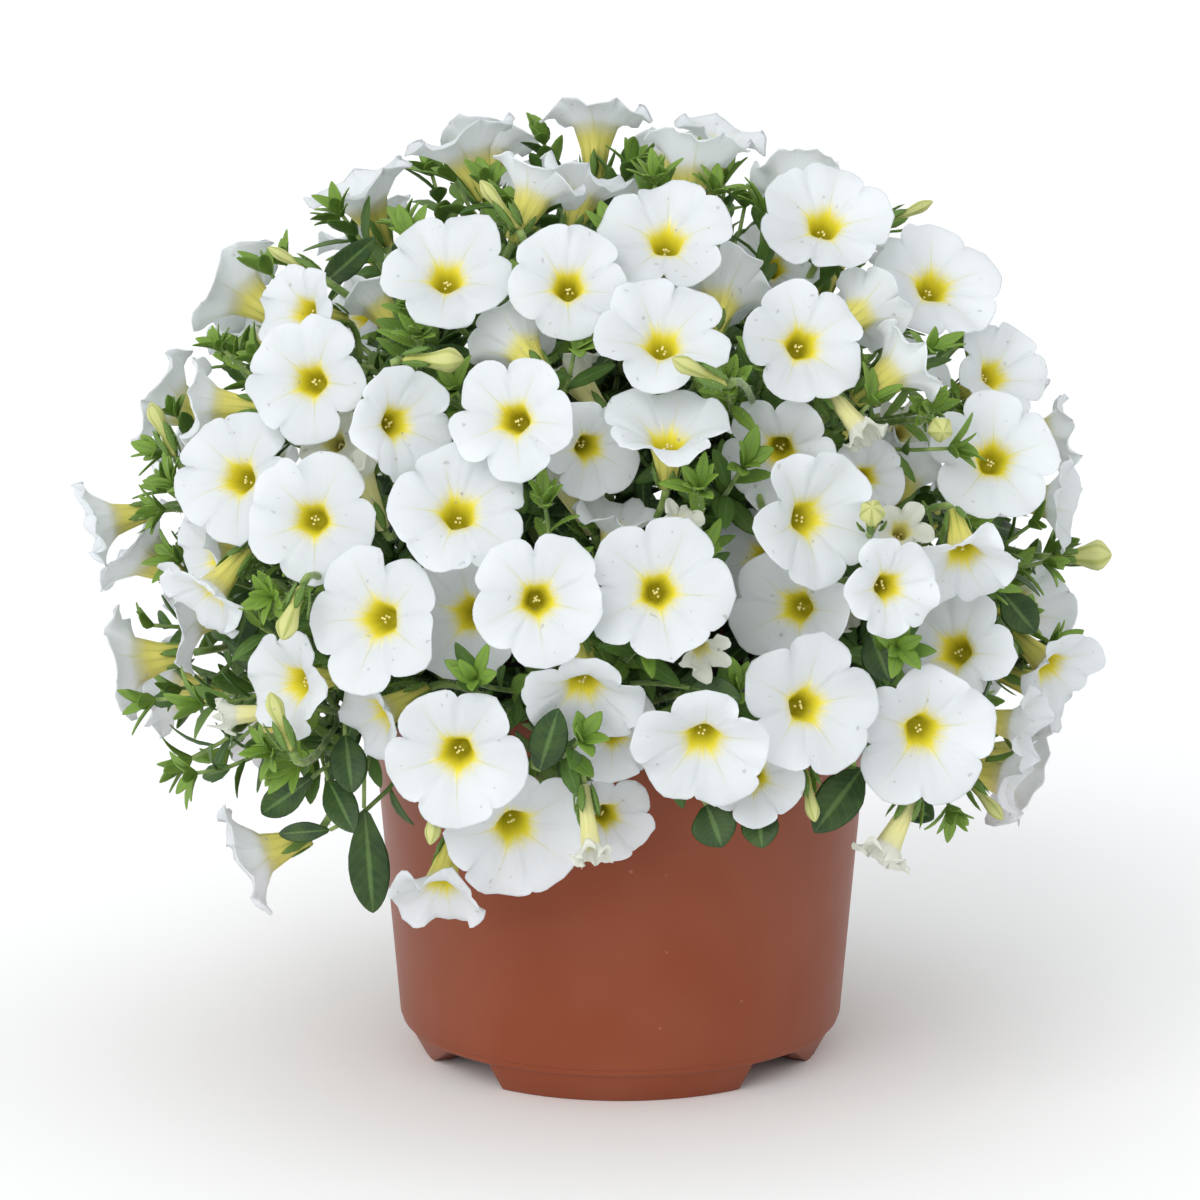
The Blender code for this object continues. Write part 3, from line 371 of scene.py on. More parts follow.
def peat():
    """Dark crumbs with paler bark and specks of grit."""
    finish = Finish("soil_peat")
    crumbs = finish.node("TexVoronoi", {}, {"Vector": finish.place(), "Scale": 520.0})
    bark = finish.speckle(300, 3).step(0.52, 0.66)
    grit = (1 - crumbs.step(0.10, 0.2)) * finish.speckle(170, 1).step(0.58, 0.62)
    colour = finish.mix(bark, SOIL_DARK, SOIL_BARK)
    colour = finish.mix(grit, colour, SOIL_GRIT)
    height = crumbs * 0.6 + finish.speckle(900, 4)
    sockets = {
        "Base Color": colour,
        "Roughness": 0.95 - grit * 0.2,
        "Normal": finish.bump(height, 0.0009, 0.9),
    }
    return finish.done(sockets)


soil_shape = bmesh.new()
soil_along = [0.8 * k / SOIL_RINGS for k in range(SOIL_RINGS + 1)] + [0.85, 0.9, 1]
laid_round(soil_shape, evenly(SOIL_SIDES), soil_along, soil_point)
closed(soil_shape)
as_piece("potting_soil", soil_shape, [peat()], "soil", "soil")

# The plant has twelve woody-based stems. A ring of low ones arches over the lip, a ring of high
# ones leans out above them, and one stands upright. All its blooms lie near the skin of a ball.
BALL_CENTRE = Vector((-6 * MM, 0, 118 * MM))
BALL_RADIUS = 121 * MM
EYE = Vector((-5.2 * MM, -1.35, 0.42))
EYE_PITCH = math.radians(-12.7)
EYE_FOCUS = 5500
FRAME_MIDDLE = 600
STEM_RADIUS = 1.5 * MM
STEM_RISE = 16 * MM
STEM_LEAD = 26 * MM
STEM_REACH = 84 * MM
HOLE_DEPTH = 16 * MM
LOW_STEMS = 7
LOW_STEM_OFFSET = 38 * MM
LOW_STEM_SLOPE = -0.09
HIGH_STEMS = 4
HIGH_STEM_OFFSET = 18 * MM
HIGH_STEM_SLOPE = 1.05
GOLDEN_ANGLE = math.pi * (3 - math.sqrt(5))
STEM_GREEN = (0.115, 0.20, 0.035, 1)
STEM_PALE = (0.26, 0.36, 0.09, 1)
HAIR_LENGTH = 0.8 * MM
HAIR_PALE = (0.75, 0.80, 0.62, 1)
HAIR_GREEN = (0.55, 0.66, 0.36, 1)


def sight(across, down):
    """The unit line of sight through a pixel of the frame."""
    forward = Vector((0, math.cos(EYE_PITCH), math.sin(EYE_PITCH)))
    up = Vector((0, -math.sin(EYE_PITCH), math.cos(EYE_PITCH)))
    right = Vector((1, 0, 0))
    ray = EYE_FOCUS * forward + (across - FRAME_MIDDLE) * right - (down - FRAME_MIDDLE) * up
    return ray.normalized()


def on_ball(ray, radius):
    """Where a line of sight meets the ball, or passes nearest to its middle."""
    nearest = (BALL_CENTRE - EYE).dot(ray)
    miss = (BALL_CENTRE - EYE - nearest * ray).length
    return EYE + (nearest - math.sqrt(max(radius**2 - miss**2, 0))) * ray


def turned(ray, right_degrees, up_degrees):
    """The direction that is turned so far right and up from facing the eye along this line of sight."""
    across = Vector((1, 0, 0))
    across = (across - across.dot(ray) * ray).normalized()
    up = across.cross(ray).normalized()
    turn = math.radians(right_degrees)
    lift = math.radians(up_degrees)
    flat = math.sin(turn) * across - math.cos(turn) * ray
    return (math.cos(lift) * flat + math.sin(lift) * up).normalized()


def set_facing(position, facing, top):
    """A matrix at this position with +Z along facing and +Y as near to top as it can be."""
    y = (top - top.dot(facing) * facing).normalized()
    x = y.cross(facing)
    return Matrix.Translation(position) @ Matrix((x, y, facing)).transposed().to_4x4()


def bezier(a, b, c, d, steps):
    """Points on the curve from a to d that leaves towards b and comes in from c."""
    points = []
    for share in evenly(steps):
        rest = 1 - share
        points.append(rest**3 * a + 3 * rest**2 * share * b + 3 * rest * share**2 * c + share**3 * d)
    return points


def spread(count, start):
    """Directions that cover a whole ball evenly, each turned by the golden angle from the last."""
    for k in range(count):
        rise = 1 - 2 * (k + 0.5) / count
        turn = (k + start) * GOLDEN_ANGLE
        yield round_point(turn, math.sqrt(1 - rise**2), rise)


def stem_layout():
    """Each stem's place in the soil and the direction from the ball's middle that it grows to."""
    stems = []
    for k in range(LOW_STEMS):
        angle = 2 * math.pi * (k + 0.25) / LOW_STEMS
        out = Vector((math.cos(angle), math.sin(angle), 0))
        stems.append((LOW_STEM_OFFSET * out, (out + Vector((0, 0, LOW_STEM_SLOPE))).normalized()))
    for k in range(HIGH_STEMS):
        angle = 2 * math.pi * (k + 0.5) / HIGH_STEMS
        out = Vector((math.cos(angle), math.sin(angle), 0))
        stems.append((HIGH_STEM_OFFSET * out, (out + Vector((0, 0, HIGH_STEM_SLOPE))).normalized()))
    stems.append((Vector((0, 0, 0)), Vector((0, 0, 1))))
    return stems


def stem_path(foot, direction, steps):
    """A stem's points from its hole in the soil up and out to its end inside the ball."""
    bottom = foot + Vector((0, 0, SOIL_TOP - HOLE_DEPTH + 1 * MM))
    top = foot + Vector((0, 0, SOIL_TOP + 1 * MM))
    end = BALL_CENTRE + STEM_REACH * direction
    lift = top + Vector((0, 0, STEM_RISE))
    lead = end - STEM_LEAD * direction + Vector((0, 0, 3 * MM))
    return [bottom] + bezier(top, lift, lead, end, steps)


def nearest_stem(stems, point):
    """The number of the stem whose sector of the ball a point is in."""
    out = (point - BALL_CENTRE).normalized()
    return max(range(len(stems)), key=lambda k: stems[k][1].dot(out))


def hair_brush(count, low, high):
    """A strip of fine hairs as a mesh: x is the share round a shape, y the share along, z the height."""
    brush = bmesh.new()
    for k in range(count):
        along = low + (high - low) * (k + 0.5) / count
        spot = (k * 0.382 % 1, along, HAIR_LENGTH / 2)
        length = HAIR_LENGTH * (0.7 + 0.6 * (k * 0.618 % 1))
        thin = Matrix.Translation(spot) @ Matrix.Diagonal((0.012, 0.006, 1, 1))
        bmesh.ops.create_cone(
            brush, cap_ends=True, segments=3, radius1=1, radius2=0, depth=length, matrix=thin
        )
    return as_mesh("hair_brush", brush)


def haired(bm, brush, point_at):
    """Sets a brush of hairs on a round shape. Each hair stands out from the shape's middle."""
    first_vert = len(bm.verts)
    first_face = len(bm.faces)
    bm.from_mesh(brush)
    bm.verts.ensure_lookup_table()
    bm.faces.ensure_lookup_table()
    for vert in bm.verts[first_vert:]:
        u, v, height = vert.co
        skin = point_at(u % 1, v)
        away = (skin - point_at((u + 0.5) % 1, v)).normalized()
        vert.co = skin + max(height, 0) * away
    for face in bm.faces[first_face:]:
        face.material_index = 2


def tube(bm, path, radius, end_radius, sides, brush=None):
    """A round stem along a path, closed at both ends."""
    side = Vector((0.31, 0.22, 1))
    places = []
    for k, point in enumerate(path):
        along = path[min(k + 1, len(path) - 1)] - path[max(k - 1, 0)]
        place = set_facing(point, along.normalized(), side)
        side = place.to_3x3() @ Vector((0, 1, 0))
        places.append(place)
    last = len(path) - 1

    def point_at(u, v):
        k = min(max(round(v * (last + 2)) - 1, 0), last)
        size = radius + (end_radius - radius) * k / last
        size *= 0 if v in (0, 1) else 1
        return places[k] @ round_point(2 * math.pi * u, size)

    laid_round(bm, evenly(sides), evenly(last + 2), point_at)
    if brush:
        haired(bm, brush, lambda u, v: on_path(path, places, radius, u, v))


def on_path(path, places, radius, u, v):
    """The skin of a stem along a path, at a share round it and a share along it."""
    at = min(int(v * (len(path) - 1)), len(path) - 2)
    between = v * (len(path) - 1) - at
    out = places[at].to_3x3() @ round_point(2 * math.pi * u, 1)
    return path[at].lerp(path[at + 1], between) + 0.85 * radius * out


def stem_skin():
    """Green stem with pale fine hairs that catch the light, and paler streaks at random."""
    finish = Finish("stem_skin")
    streak = finish.speckle(260, 1)
    colour = finish.mix(streak.step(0.35, 0.7), STEM_GREEN, STEM_PALE)
    sockets = {
        "Base Color": colour,
        "Roughness": 0.55,
        "Sheen Weight": 0.35,
        "Sheen Roughness": 0.4,
        "Normal": finish.bump(finish.speckle(1500, 0), 0.0001, 0.5),
    }
    return finish.done(sockets)


def fine_hair():
    """Clear soft hair, a little green."""
    finish = Finish("fine_hair")
    colour = finish.mix(finish.speckle(400, 1), HAIR_PALE, HAIR_GREEN)
    return finish.done({"Base Color": colour, "Roughness": 0.4})


stem_finish = stem_skin()
hair_finish = fine_hair()
STALK_BRUSH = hair_brush(26, 0.04, 0.96)
LEAF_BRUSH = hair_brush(14, 0.12, 0.92)
stems = stem_layout()
paths = [stem_path(foot, direction, 14) for foot, direction in stems]
stem_shapes = []
for path in paths:
    stem_shapes.append(bmesh.new())
    tube(stem_shapes[-1], path, STEM_RADIUS, 0.7 * STEM_RADIUS, 10)

# The blooms are thin white funnels of five joined petals, with a soft limb, a yellow throat that
# runs out in fine streaks, and a yellow-green tube behind. Each is held by a calyx of five narrow
# sepals on a stalk of its own, and two to four stalks meet in a spray.
THROAT_DEPTH = 14 * MM
TUBE_LENGTH = 19 * MM
BUD_LENGTH = 15 * MM
MOUTH_SHARE = 0.30
MOUTH_EXTRA = 1 * MM
PETAL_THICKNESS = 0.32 * MM
FORK_REACH = 90 * MM
PER_SPRAY = 3.4
FAR_COUNT = 124
FAR_EDGE = -0.15
FAR_LOWEST = -0.46
FAR_TILT = 0.35
FAR_LIFT = 0.25
PETAL_WHITE = (0.915, 0.935, 0.965, 1)
PETAL_SHADE = (0.85, 0.88, 0.93, 1)
PETAL_BACK = (0.91, 0.93, 0.945, 1)
PETAL_CREAM = (0.80, 0.79, 0.50, 1)
BUD_YELLOW = (0.56, 0.58, 0.13, 1)
THROAT_YELLOW = (0.83, 0.73, 0.05, 1)
THROAT_OLIVE_SHADE = (0.50, 0.46, 0.020, 1)
VEIN_GREEN = (0.70, 0.69, 0.26, 1)
TUBE_YELLOW = (0.70, 0.64, 0.15, 1)
TUBE_GREEN = (0.30, 0.36, 0.06, 1)
PETAL_SPECK = (0.36, 0.37, 0.34, 1)
PETAL_CLEAR = (0.93, 0.95, 0.96, 1)

# Open and half-open blooms on the side that the eye sees, the nearest first: pixels across and
# down to the middle of the limb, width in mm, and degrees turned right, turned up and rolled
SEEN_BLOOMS = (
    (659, 590, 34.5, 4, 4, -10),
    (309, 519, 32.5, -12, 2, -6),
    (305, 379, 31, -18, 6, -13),
    (568, 280, 30, 0, 20, 0),
    (805, 340, 31.5, 12, 14, 24),
    (996, 455, 33.5, 10, 14, -33),
    (927, 737, 36, 14, -15, -32),
    (703, 752, 33.5, 0, -38, 36),
    (454, 757, 35, -10, -12, 0),
    (458, 505, 34.5, 0, 26, 17),
    (812, 705, 34.5, 22, 2, -32),
    (539, 600, 32, 5, 0, -4),
    (372, 619, 36, -25, 0, 18),
    (518, 836, 36, 15, -30, 10),
    (819, 518, 33.5, 35, 0, -5),
    (826, 216, 33.5, 8, 34, -16),
    (937, 278, 33.5, 18, 30, -32),
    (446, 267, 32.5, -2, 32, 2),
    (667, 233, 33, 2, 35, 33),
    (663, 332, 32, 2, 35, 8),
    (511, 417, 30.5, -14, 8, -10),
    (404, 422, 28.5, 30, 3, 11),
    (462, 615, 33, -25, -3, 36),
    (232, 476, 32.5, -28, 8, -6),
    (790, 607, 31, -20, 0, -12),
    (668, 420, 30, 2, 55, 36),
    (950, 648, 33, -18, 8, -10),
    (967, 572, 27, 15, -50, 36),
    (583, 705, 29.5, 0, -50, 36),
    (436, 905, 25.5, -25, -60, 36),
    (778, 455, 29, -5, -15, 0),
    (1003, 370, 27, 40, 18, 0),
    (593, 450, 25, 20, -10, 10),
    (293, 310, 25, -42, 8, 5),
    (895, 588, 25, 25, -5, 10),
    (282, 686, 28, -50, -8, 0),
    (556, 470, 17, -50, 53, 0),
    (620, 508, 23, 30, 72, 0),
    (868, 440, 13, 60, -48, 0),
    (706, 657, 14, 25, -35, 0),
    (855, 620, 11, 50, -35, 0),
    (593, 860, 11, 20, -70, 0),
    (903, 527, 16, 10, 20, 0),
    (355, 458, 14, -60, 65, 0),
    (683, 515, 11, 20, 40, 0),
    (1062, 677, 26, 50, -35, 20),
    (1035, 728, 22, 75, -10, 0),
    (1022, 782, 24, 82, -12, 0),
    (1070, 503, 26, 78, -5, 0),
    (1072, 430, 20, 100, 5, 0),
    (188, 402, 25, -95, 5, 0),
    (86, 525, 24, -84, -12, 0),
    (195, 560, 26, -70, -5, 0),
    (200, 605, 24, -60, -45, 0),
    (238, 862, 30, -88, -20, 0),
    (218, 716, 10, -95, -5, 0),
    (880, 862, 17, -64, -60, 0),
    (915, 355, 24, 110, 35, 0),
    (920, 452, 24, 115, 56, 0),
    (545, 172, 26, 120, 62, 0),
    (592, 168, 26, 100, 70, 0),
    (697, 140, 26.5, 145, 78, 0),
    (362, 285, 22, -108, 51, 0),
)

# Blooms on that side that show only in part, behind the others, read the same way
BEHIND_BLOOMS = (
    (172, 618, 30, -88, -8, 0),
    (365, 722, 24, -60, -25, 0),
    (795, 172, 25, 180, 55, 0),
    (350, 312, 20, -50, 10, 0),
    (722, 280, 27, 170, 45, 0),
    (510, 335, 24, -150, 30, 0),
    (565, 365, 18, -120, 48, 0),
    (872, 305, 22, 150, 20, 0),
    (612, 820, 22, 20, -15, 0),
    (757, 780, 24, 10, -10, 0),
    (615, 738, 24, 10, -20, 0),
    (775, 262, 22, 10, 20, 0),
    (752, 555, 26, -30, 10, 0),
    (330, 440, 18, -20, 10, 0),
    (905, 430, 18, 20, 10, 0),
    (870, 478, 20, 20, 0, 0),
)

# Buds on that side: pixels to the tip, width in mm, and degrees turned right and turned up
SEEN_BUDS = (
    (480, 180, 4, -90, 52),
    (672, 358, 5, -70, 25),
    (464, 360, 7, 80, 0),
    (150, 402, 5, -100, 65),
    (270, 692, 5, -80, 70),
    (282, 640, 6, -40, -60),
    (430, 845, 4.5, -30, -70),
    (1112, 555, 9, 88, 2),
    (815, 822, 4, 20, -60),
    (1003, 820, 4, 60, -45),
    (933, 201, 3.5, 95, 25),
    (268, 247, 3.5, -95, 30),
    (943, 432, 7, 10, -10),
    (872, 507, 7, 0, 20),
)

far_draws = random.Random(11)
petal_draws = random.Random(5)


class Bloom:
    """One bloom: its place, with +Z out of its throat, half its width, and whether it is shut."""

    def __init__(self, place, half, bud=False, far=False):
        self.place = place
        self.half = half
        self.bud = bud
        self.far = far
        self.facing = place.to_3x3() @ Vector((0, 0, 1))
        self.top = place.to_3x3() @ Vector((0, 1, 0))
        self.end = place.translation - (BUD_LENGTH if bud else TUBE_LENGTH) * self.facing


def ring(place, radius, height, count):
    """Points round the +Z axis of a place."""
    return [place @ round_point(2 * math.pi * i / count, radius, height) for i in range(count)]


def zipped(first, count, second, other):
    """Triangles between two rings of points, given each one's first index and count."""
    if count == 1 or other == 1:
        apex, start, around = (first, second, other) if count == 1 else (second, first, count)
        return [(apex, start + i, start + (i + 1) % around) for i in range(around)]
    faces = []
    i = j = 0
    while i < count or j < other:
        a = first + i % count
        b = second + j % other
        if j == other or (i < count and (i + 0.5) / count <= (j + 0.5) / other):
            i += 1
            faces.append((a, first + i % count, b))
        else:
            j += 1
            faces.append((a, second + j % other, b))
    return faces


def skinned(rings):
    """One closed body over rings of points, from end to end: its points and its faces."""
    points = []
    faces = []
    starts = []
    for one in rings:
        starts.append(len(points))
        points.extend(one)
    for k in range(len(rings) - 1):
        faces += zipped(starts[k], len(rings[k]), starts[k + 1], len(rings[k + 1]))
    for k in (0, len(rings) - 1):
        if len(rings[k]) > 1:
            faces.append(tuple(range(starts[k], starts[k] + len(rings[k]))))
    return points, faces


def bloom_guard(place, half, bud):
    """A plain round stand-in, a little larger than a bloom, that keeps others clear of it."""
    if bud:
        tip = [place @ Vector((0, 0, 2 * MM))]
        return skinned([tip, ring(place, half + 1 * MM, 0, 6), ring(place, 2.4 * MM, -16 * MM, 6)])
    mouth = MOUTH_SHARE * half + MOUTH_EXTRA
    rings = [[place @ Vector((0, 0, -5 * MM))]]
    for radius, height, count in (
        (half + 0.5 * MM, 1.2 * MM, 12),
        (half + 0.5 * MM, -1.4 * MM, 12),
        (mouth + 1.2 * MM, -7 * MM, 6),
        (3.2 * MM, -14 * MM, 6),
        (2.6 * MM, -TUBE_LENGTH - 1 * MM, 6),
    ):
        rings.append(ring(place, radius, height, count))
    rings.append([place @ Vector((0, 0, -TUBE_LENGTH - 3 * MM))])
    return skinned(rings)


def search_tree(body):
    """A search tree of a body, with its middle and its reach."""
    points, faces = body
    bm = bmesh.new()
    verts = [bm.verts.new(point) for point in points]
    for face in faces:
        bm.faces.new([verts[i] for i in face])
    tree = BVHTree.FromBMesh(bm)
    bm.free()
    middle = sum(points, Vector()) / len(points)
    return tree, middle, max((point - middle).length for point in points)


def settled(place, half, push, taken, moves, bud=False):
    """The place moved along push, by the first of these moves that clears the blooms that have theirs."""
    for move in moves:
        moved = Matrix.Translation(move * push) @ place
        tree, middle, reach = search_tree(bloom_guard(moved, half, bud))
        if not any(
            (its_middle - middle).length < reach + its_reach and tree.overlap(its_tree)
            for its_tree, its_middle, its_reach in taken
        ):
            taken.append((tree, middle, reach))
            return moved
    return None


def seen_blooms(taken):
    """The blooms and buds of the seen side, each on its line of sight."""
    near_or_far = [0.0]
    for k in range(1, 50):
        near_or_far += [k * MM, -k * MM] if k < 14 else [k * MM]
    only_far = [k * MM for k in range(50)]
    rows = [(row, BALL_RADIUS, near_or_far) for row in SEEN_BLOOMS]
    rows += [(row, BALL_RADIUS - 10 * MM, only_far) for row in BEHIND_BLOOMS]
    blooms = []
    for (across, down, width, right, up, roll), reach, moves in rows:
        ray = sight(across, down)
        lean = math.radians(roll)
        top = turned(ray, 90, 0) * math.sin(lean) + turned(ray, 0, 90) * math.cos(lean)
        place = set_facing(on_ball(ray, reach), turned(ray, right, up), top)
        half = width / 2 * MM
        moved = settled(place, half, ray, taken, moves)
        if moved:
            blooms.append(Bloom(moved, half))
    for across, down, width, right, up in SEEN_BUDS:
        ray = sight(across, down)
        place = set_facing(on_ball(ray, BALL_RADIUS + 4 * MM), turned(ray, right, up), turned(ray, 10, 80))
        half = width / 2 * MM
        moved = settled(place, half, ray, taken, near_or_far, bud=True)
        if moved:
            blooms.append(Bloom(moved, half, bud=True))
    return blooms


def far_blooms(taken):
    """The blooms of the far side, that face out and a little up."""
    blooms = []
    for out in spread(FAR_COUNT, 0):
        half = far_draws.uniform(13, 17) * MM
        tilt = Vector([far_draws.uniform(-FAR_TILT, FAR_TILT) for _ in range(3)])
        top = Vector([far_draws.uniform(-1, 1) for _ in range(3)])
        if out.y < FAR_EDGE or out.z < FAR_LOWEST:
            continue
        facing = (out + tilt + Vector((0, 0, FAR_LIFT))).normalized()
        place = set_facing(BALL_CENTRE + BALL_RADIUS * out, facing, top)
        moved = settled(place, half, -out, taken, [k * MM for k in range(14)])
        if moved:
            blooms.append(Bloom(moved, half, far=True))
    return blooms


def share_out(blooms, stems):
    """The sprays of each stem: its blooms, in the order round it, cut into runs of about three."""
    sprays = []
    for number, (_, direction) in enumerate(stems):
        inverse = set_facing(BALL_CENTRE, direction, Vector((0.3, 0.1, 1))).inverted()
        mine = [bloom for bloom in blooms if nearest_stem(stems, bloom.end) == number]
        mine.sort(key=lambda bloom: math.atan2((inverse @ bloom.end).y, (inverse @ bloom.end).x))
        count = max(1, round(len(mine) / PER_SPRAY))
        for k in range(count):
            run = mine[k * len(mine) // count : (k + 1) * len(mine) // count]
            if run:
                sprays.append((number, run))
    return sprays


# Along a bloom, from the bottom of its throat over the rim (at 0.5) to the end of its tube
OPEN_ALONG = (0, 0.03, 0.09, 0.15, 0.2, 0.235, 0.27, 0.305, 0.34, 0.375, 0.41, 0.44, 0.465, 0.485, 0.497)
OPEN_ALONG += (0.503, 0.515, 0.54, 0.58, 0.63, 0.69, 0.75, 0.8, 0.85, 0.9, 0.95, 0.99, 1)
FAR_ALONG = (0, 0.05, 0.15, 0.2, 0.26, 0.33, 0.40, 0.45, 0.49, 0.51, 0.56, 0.65, 0.77, 0.88, 0.98, 1)
BUD_ALONG = (0, 0.015, 0.05, 0.1, 0.16, 0.24, 0.34, 0.46, 0.6, 0.75, 0.9, 1)
LOBE_STEPS = (0, 0.035, 0.09, 0.16, 0.25, 0.37, 0.5, 0.63, 0.75, 0.84, 0.91, 0.965)
FAR_LOBE_STEPS = (0, 0.06, 0.18, 0.36, 0.5, 0.64, 0.82, 0.94)


def lobed(steps):
    """The shares round a bloom at which its lobes are drawn, closest together at the notches."""
    return [(lobe + step) / 5 for lobe in range(5) for step in steps] + [1.0]


def open_bloom(bm, bloom):
    """An open bloom in one closed skin, its lobes and soft folds drawn at random."""
    half = bloom.half
    young = half < 9.5 * MM
    draw = petal_draws.uniform
    away = min(1.0, max(0.0, 0.85 - bloom.facing.dot((EYE - bloom.place.translation).normalized())))

    def each_lobe(low, high):
        return [draw(low, high) for _ in range(5)]

    notch = each_lobe(0.40, 0.52) if young else each_lobe(0.70, 0.88)
    reach = each_lobe(0.93, 1.02)
    swing = each_lobe(-0.016, 0.016)
    tip = [max(0.0, size) for size in each_lobe(-0.04, 0.05)]
    curl = [(size - 1.6 * away) * MM for size in each_lobe(-2.4, 0.9)]
    twist = [size * MM for size in each_lobe(-1.1, 1.1)]
    ripple = [(draw(0.15, 0.55) * MM, draw(0, 6.28)) for _ in range(6)]
    rise = [size * MM for size in each_lobe(-0.6, 1.6)]
    blunt = 1.5 if young else draw(2.3, 3.4)
    cup = draw(0.8, 1.25) + (draw(0.1, 0.9) if bloom.far else 0.95 * away)
    mouth = (0.22 + 0.05 * away) * half + 0.5 * MM
    size = half / (16.5 * MM)
    seed = draw(0, 90)

    def point_at(u, v):
        lobe = int(u * 5 + 1e-6) % 5
        phase = u * 5 - lobe if u * 5 - lobe < 1 else 0.0
        edge = abs(2 * phase - 1)
        after = (lobe + 1) % 5
        inner = v <= 0.5
        q = 2 * v if inner else 2 * (1 - v)
        limb = max(0.0, (q - 0.4) / 0.6)
        depth = min(1.0, q / 0.4)
        smooth = phase * phase * (3 - 2 * phase)
        turn = 2 * math.pi * (u + (swing[lobe] * (1 - smooth) + swing[after] * smooth) * limb)
        lip = -4.4 * MM * size**0.5 * cup
        if limb > 0:
            radius = mouth + (half - mouth) * limb
            height = lip * (1 - limb) ** 1.8
        else:
            radius = mouth * (0.34 + 0.66 * depth**1.5)
            height = lip - max(THROAT_DEPTH + lip, 3 * MM) * (1 - depth)
        if not inner and limb <= 0:
            radius = radius + 0.5 * MM + 0.3 * MM * (1 - depth)
            height = lip + (-TUBE_LENGTH - lip) * (1 - depth)
        if v in (0, 1):
            return bloom.place @ Vector((0, 0, height))
        low = notch[lobe] if phase < 0.5 else notch[after]
        up = rise[lobe] if phase < 0.5 else rise[after]
        bow = (1 - edge**blunt) ** 0.7 if edge < 1 else 0.0
        outline = low + (reach[lobe] - low) * bow + tip[lobe] * math.exp(-((edge / 0.09) ** 2))
        around = round_point(turn, 1)
        outline += 0.06 * noise.noise(around * 3.1 + Vector((seed, 0, 0)))
        flute = 1 + 0.05 * (1 - limb) * math.cos(2 * math.pi * (phase - 0.5))
        across = radius * (1 + limb**1.6 * (outline - 1)) * flute
        wave = curl[lobe] * (1 - edge**2) + twist[lobe] * math.sin(2 * math.pi * phase) + up * edge**3
        for number, (swell, shift) in enumerate(ripple):
            wave += swell * limb * math.sin((number + 3) * turn + shift)
        wave += 1.1 * MM * noise.noise(around * across * 210 + Vector((0, 0, seed))) * limb**0.5
        pleat = 0.7 * MM * noise.noise(around * 5.5 + Vector((0, seed, limb * 0.7))) * limb**0.7
        fold = -0.75 * MM * math.exp(-(((1 - edge) / 0.14) ** 2)) * math.sin(math.pi * min(1, limb * 1.05))
        crease = -0.38 * MM * math.exp(-((edge / 0.11) ** 2)) * min(1, 2 * limb)
        height += limb**2 * wave + pleat + fold + crease
        if not inner and limb > 0:
            height -= PETAL_THICKNESS + 0.5 * MM * (1 - limb) ** 2
            across -= 0.12 * MM * limb
        return bloom.place @ (across * around + Vector((0, 0, height)))

    tone = 3 if young else petal_draws.choice((0, 0, 0, 1))
    steps = FAR_LOBE_STEPS if bloom.far else LOBE_STEPS
    laid_round(bm, lobed(steps), FAR_ALONG if bloom.far else OPEN_ALONG, point_at, tone, 3)


def shut_bud(bm, bloom):
    """A bud: a long pleated spindle, twisted shut at its tip."""
    twist = petal_draws.uniform(0.6, 1.2)
    wide = 0.86 * bloom.half

    def point_at(u, v):
        turn = 2 * math.pi * u
        down = (v - 0.5) / 0.5
        if down < 0.2:
            radius = wide * (down / 0.2) ** 0.65
        elif down < 0.55:
            radius = wide * (1 - 0.45 * ((down - 0.2) / 0.35) ** 1.3)
        else:
            radius = 0.55 * wide * (1 - (down - 0.55) / 0.45) + 1.2 * MM * (down - 0.55) / 0.45
        radius *= 1 + 0.14 * math.cos(5 * turn + twist * (1 - down) * 5) * max(0, 1 - down * 1.3)
        radius = 0 if v in (0.5, 1) else radius
        return bloom.place @ round_point(turn, radius, -BUD_LENGTH * down)

    laid_round(bm, evenly(20), [0.5 + 0.5 * share for share in BUD_ALONG], point_at, 4, 3)


def leaf(bm, base, out, up, length, width, tone, sides, along, curl, blunt=1.7, brush=None):
    """One leaf with +Z its upper side: narrow at its foot, folded a little along its midrib."""
    place = set_facing(base, (up - up.dot(out) * out).normalized(), out)

    def point_at(u, v):
        turn = 2 * math.pi * u
        if v < 0.5:
            half = 0.5 * width * (0.22 + 0.78 * math.sin(math.pi * v) ** 1.3)
        else:
            half = 0.5 * width * max(0, 1 - ((v - 0.5) / 0.5) ** blunt) ** 0.75
        half = 0 if v in (0, 1) else half
        thick = (0.22 * MM + 0.10 * MM * (1 - v)) * (0 if v in (0, 1) else 1)
        x = half * math.cos(turn)
        z = thick * math.sin(turn) + 0.28 * abs(x) * (1 - 0.4 * v)
        bend = curl * v
        y = length * (math.sin(bend) / curl if abs(curl) > 0.01 else v)
        drop = length * ((1 - math.cos(bend)) / curl if abs(curl) > 0.01 else 0)
        return place @ Vector((x, y, z - drop))

    laid_round(bm, evenly(sides), along, point_at, tone, 1)
    if brush:
        haired(bm, brush, point_at)


def pick_turned(place, angle, lift):
    """The direction that leaves a place's +Z axis by 90 degrees less lift, at an angle round it."""
    return place.to_3x3() @ round_point(angle, math.cos(lift), math.sin(lift))


SEPAL_ALONG = (0, 0.2, 0.5, 0.8, 1)


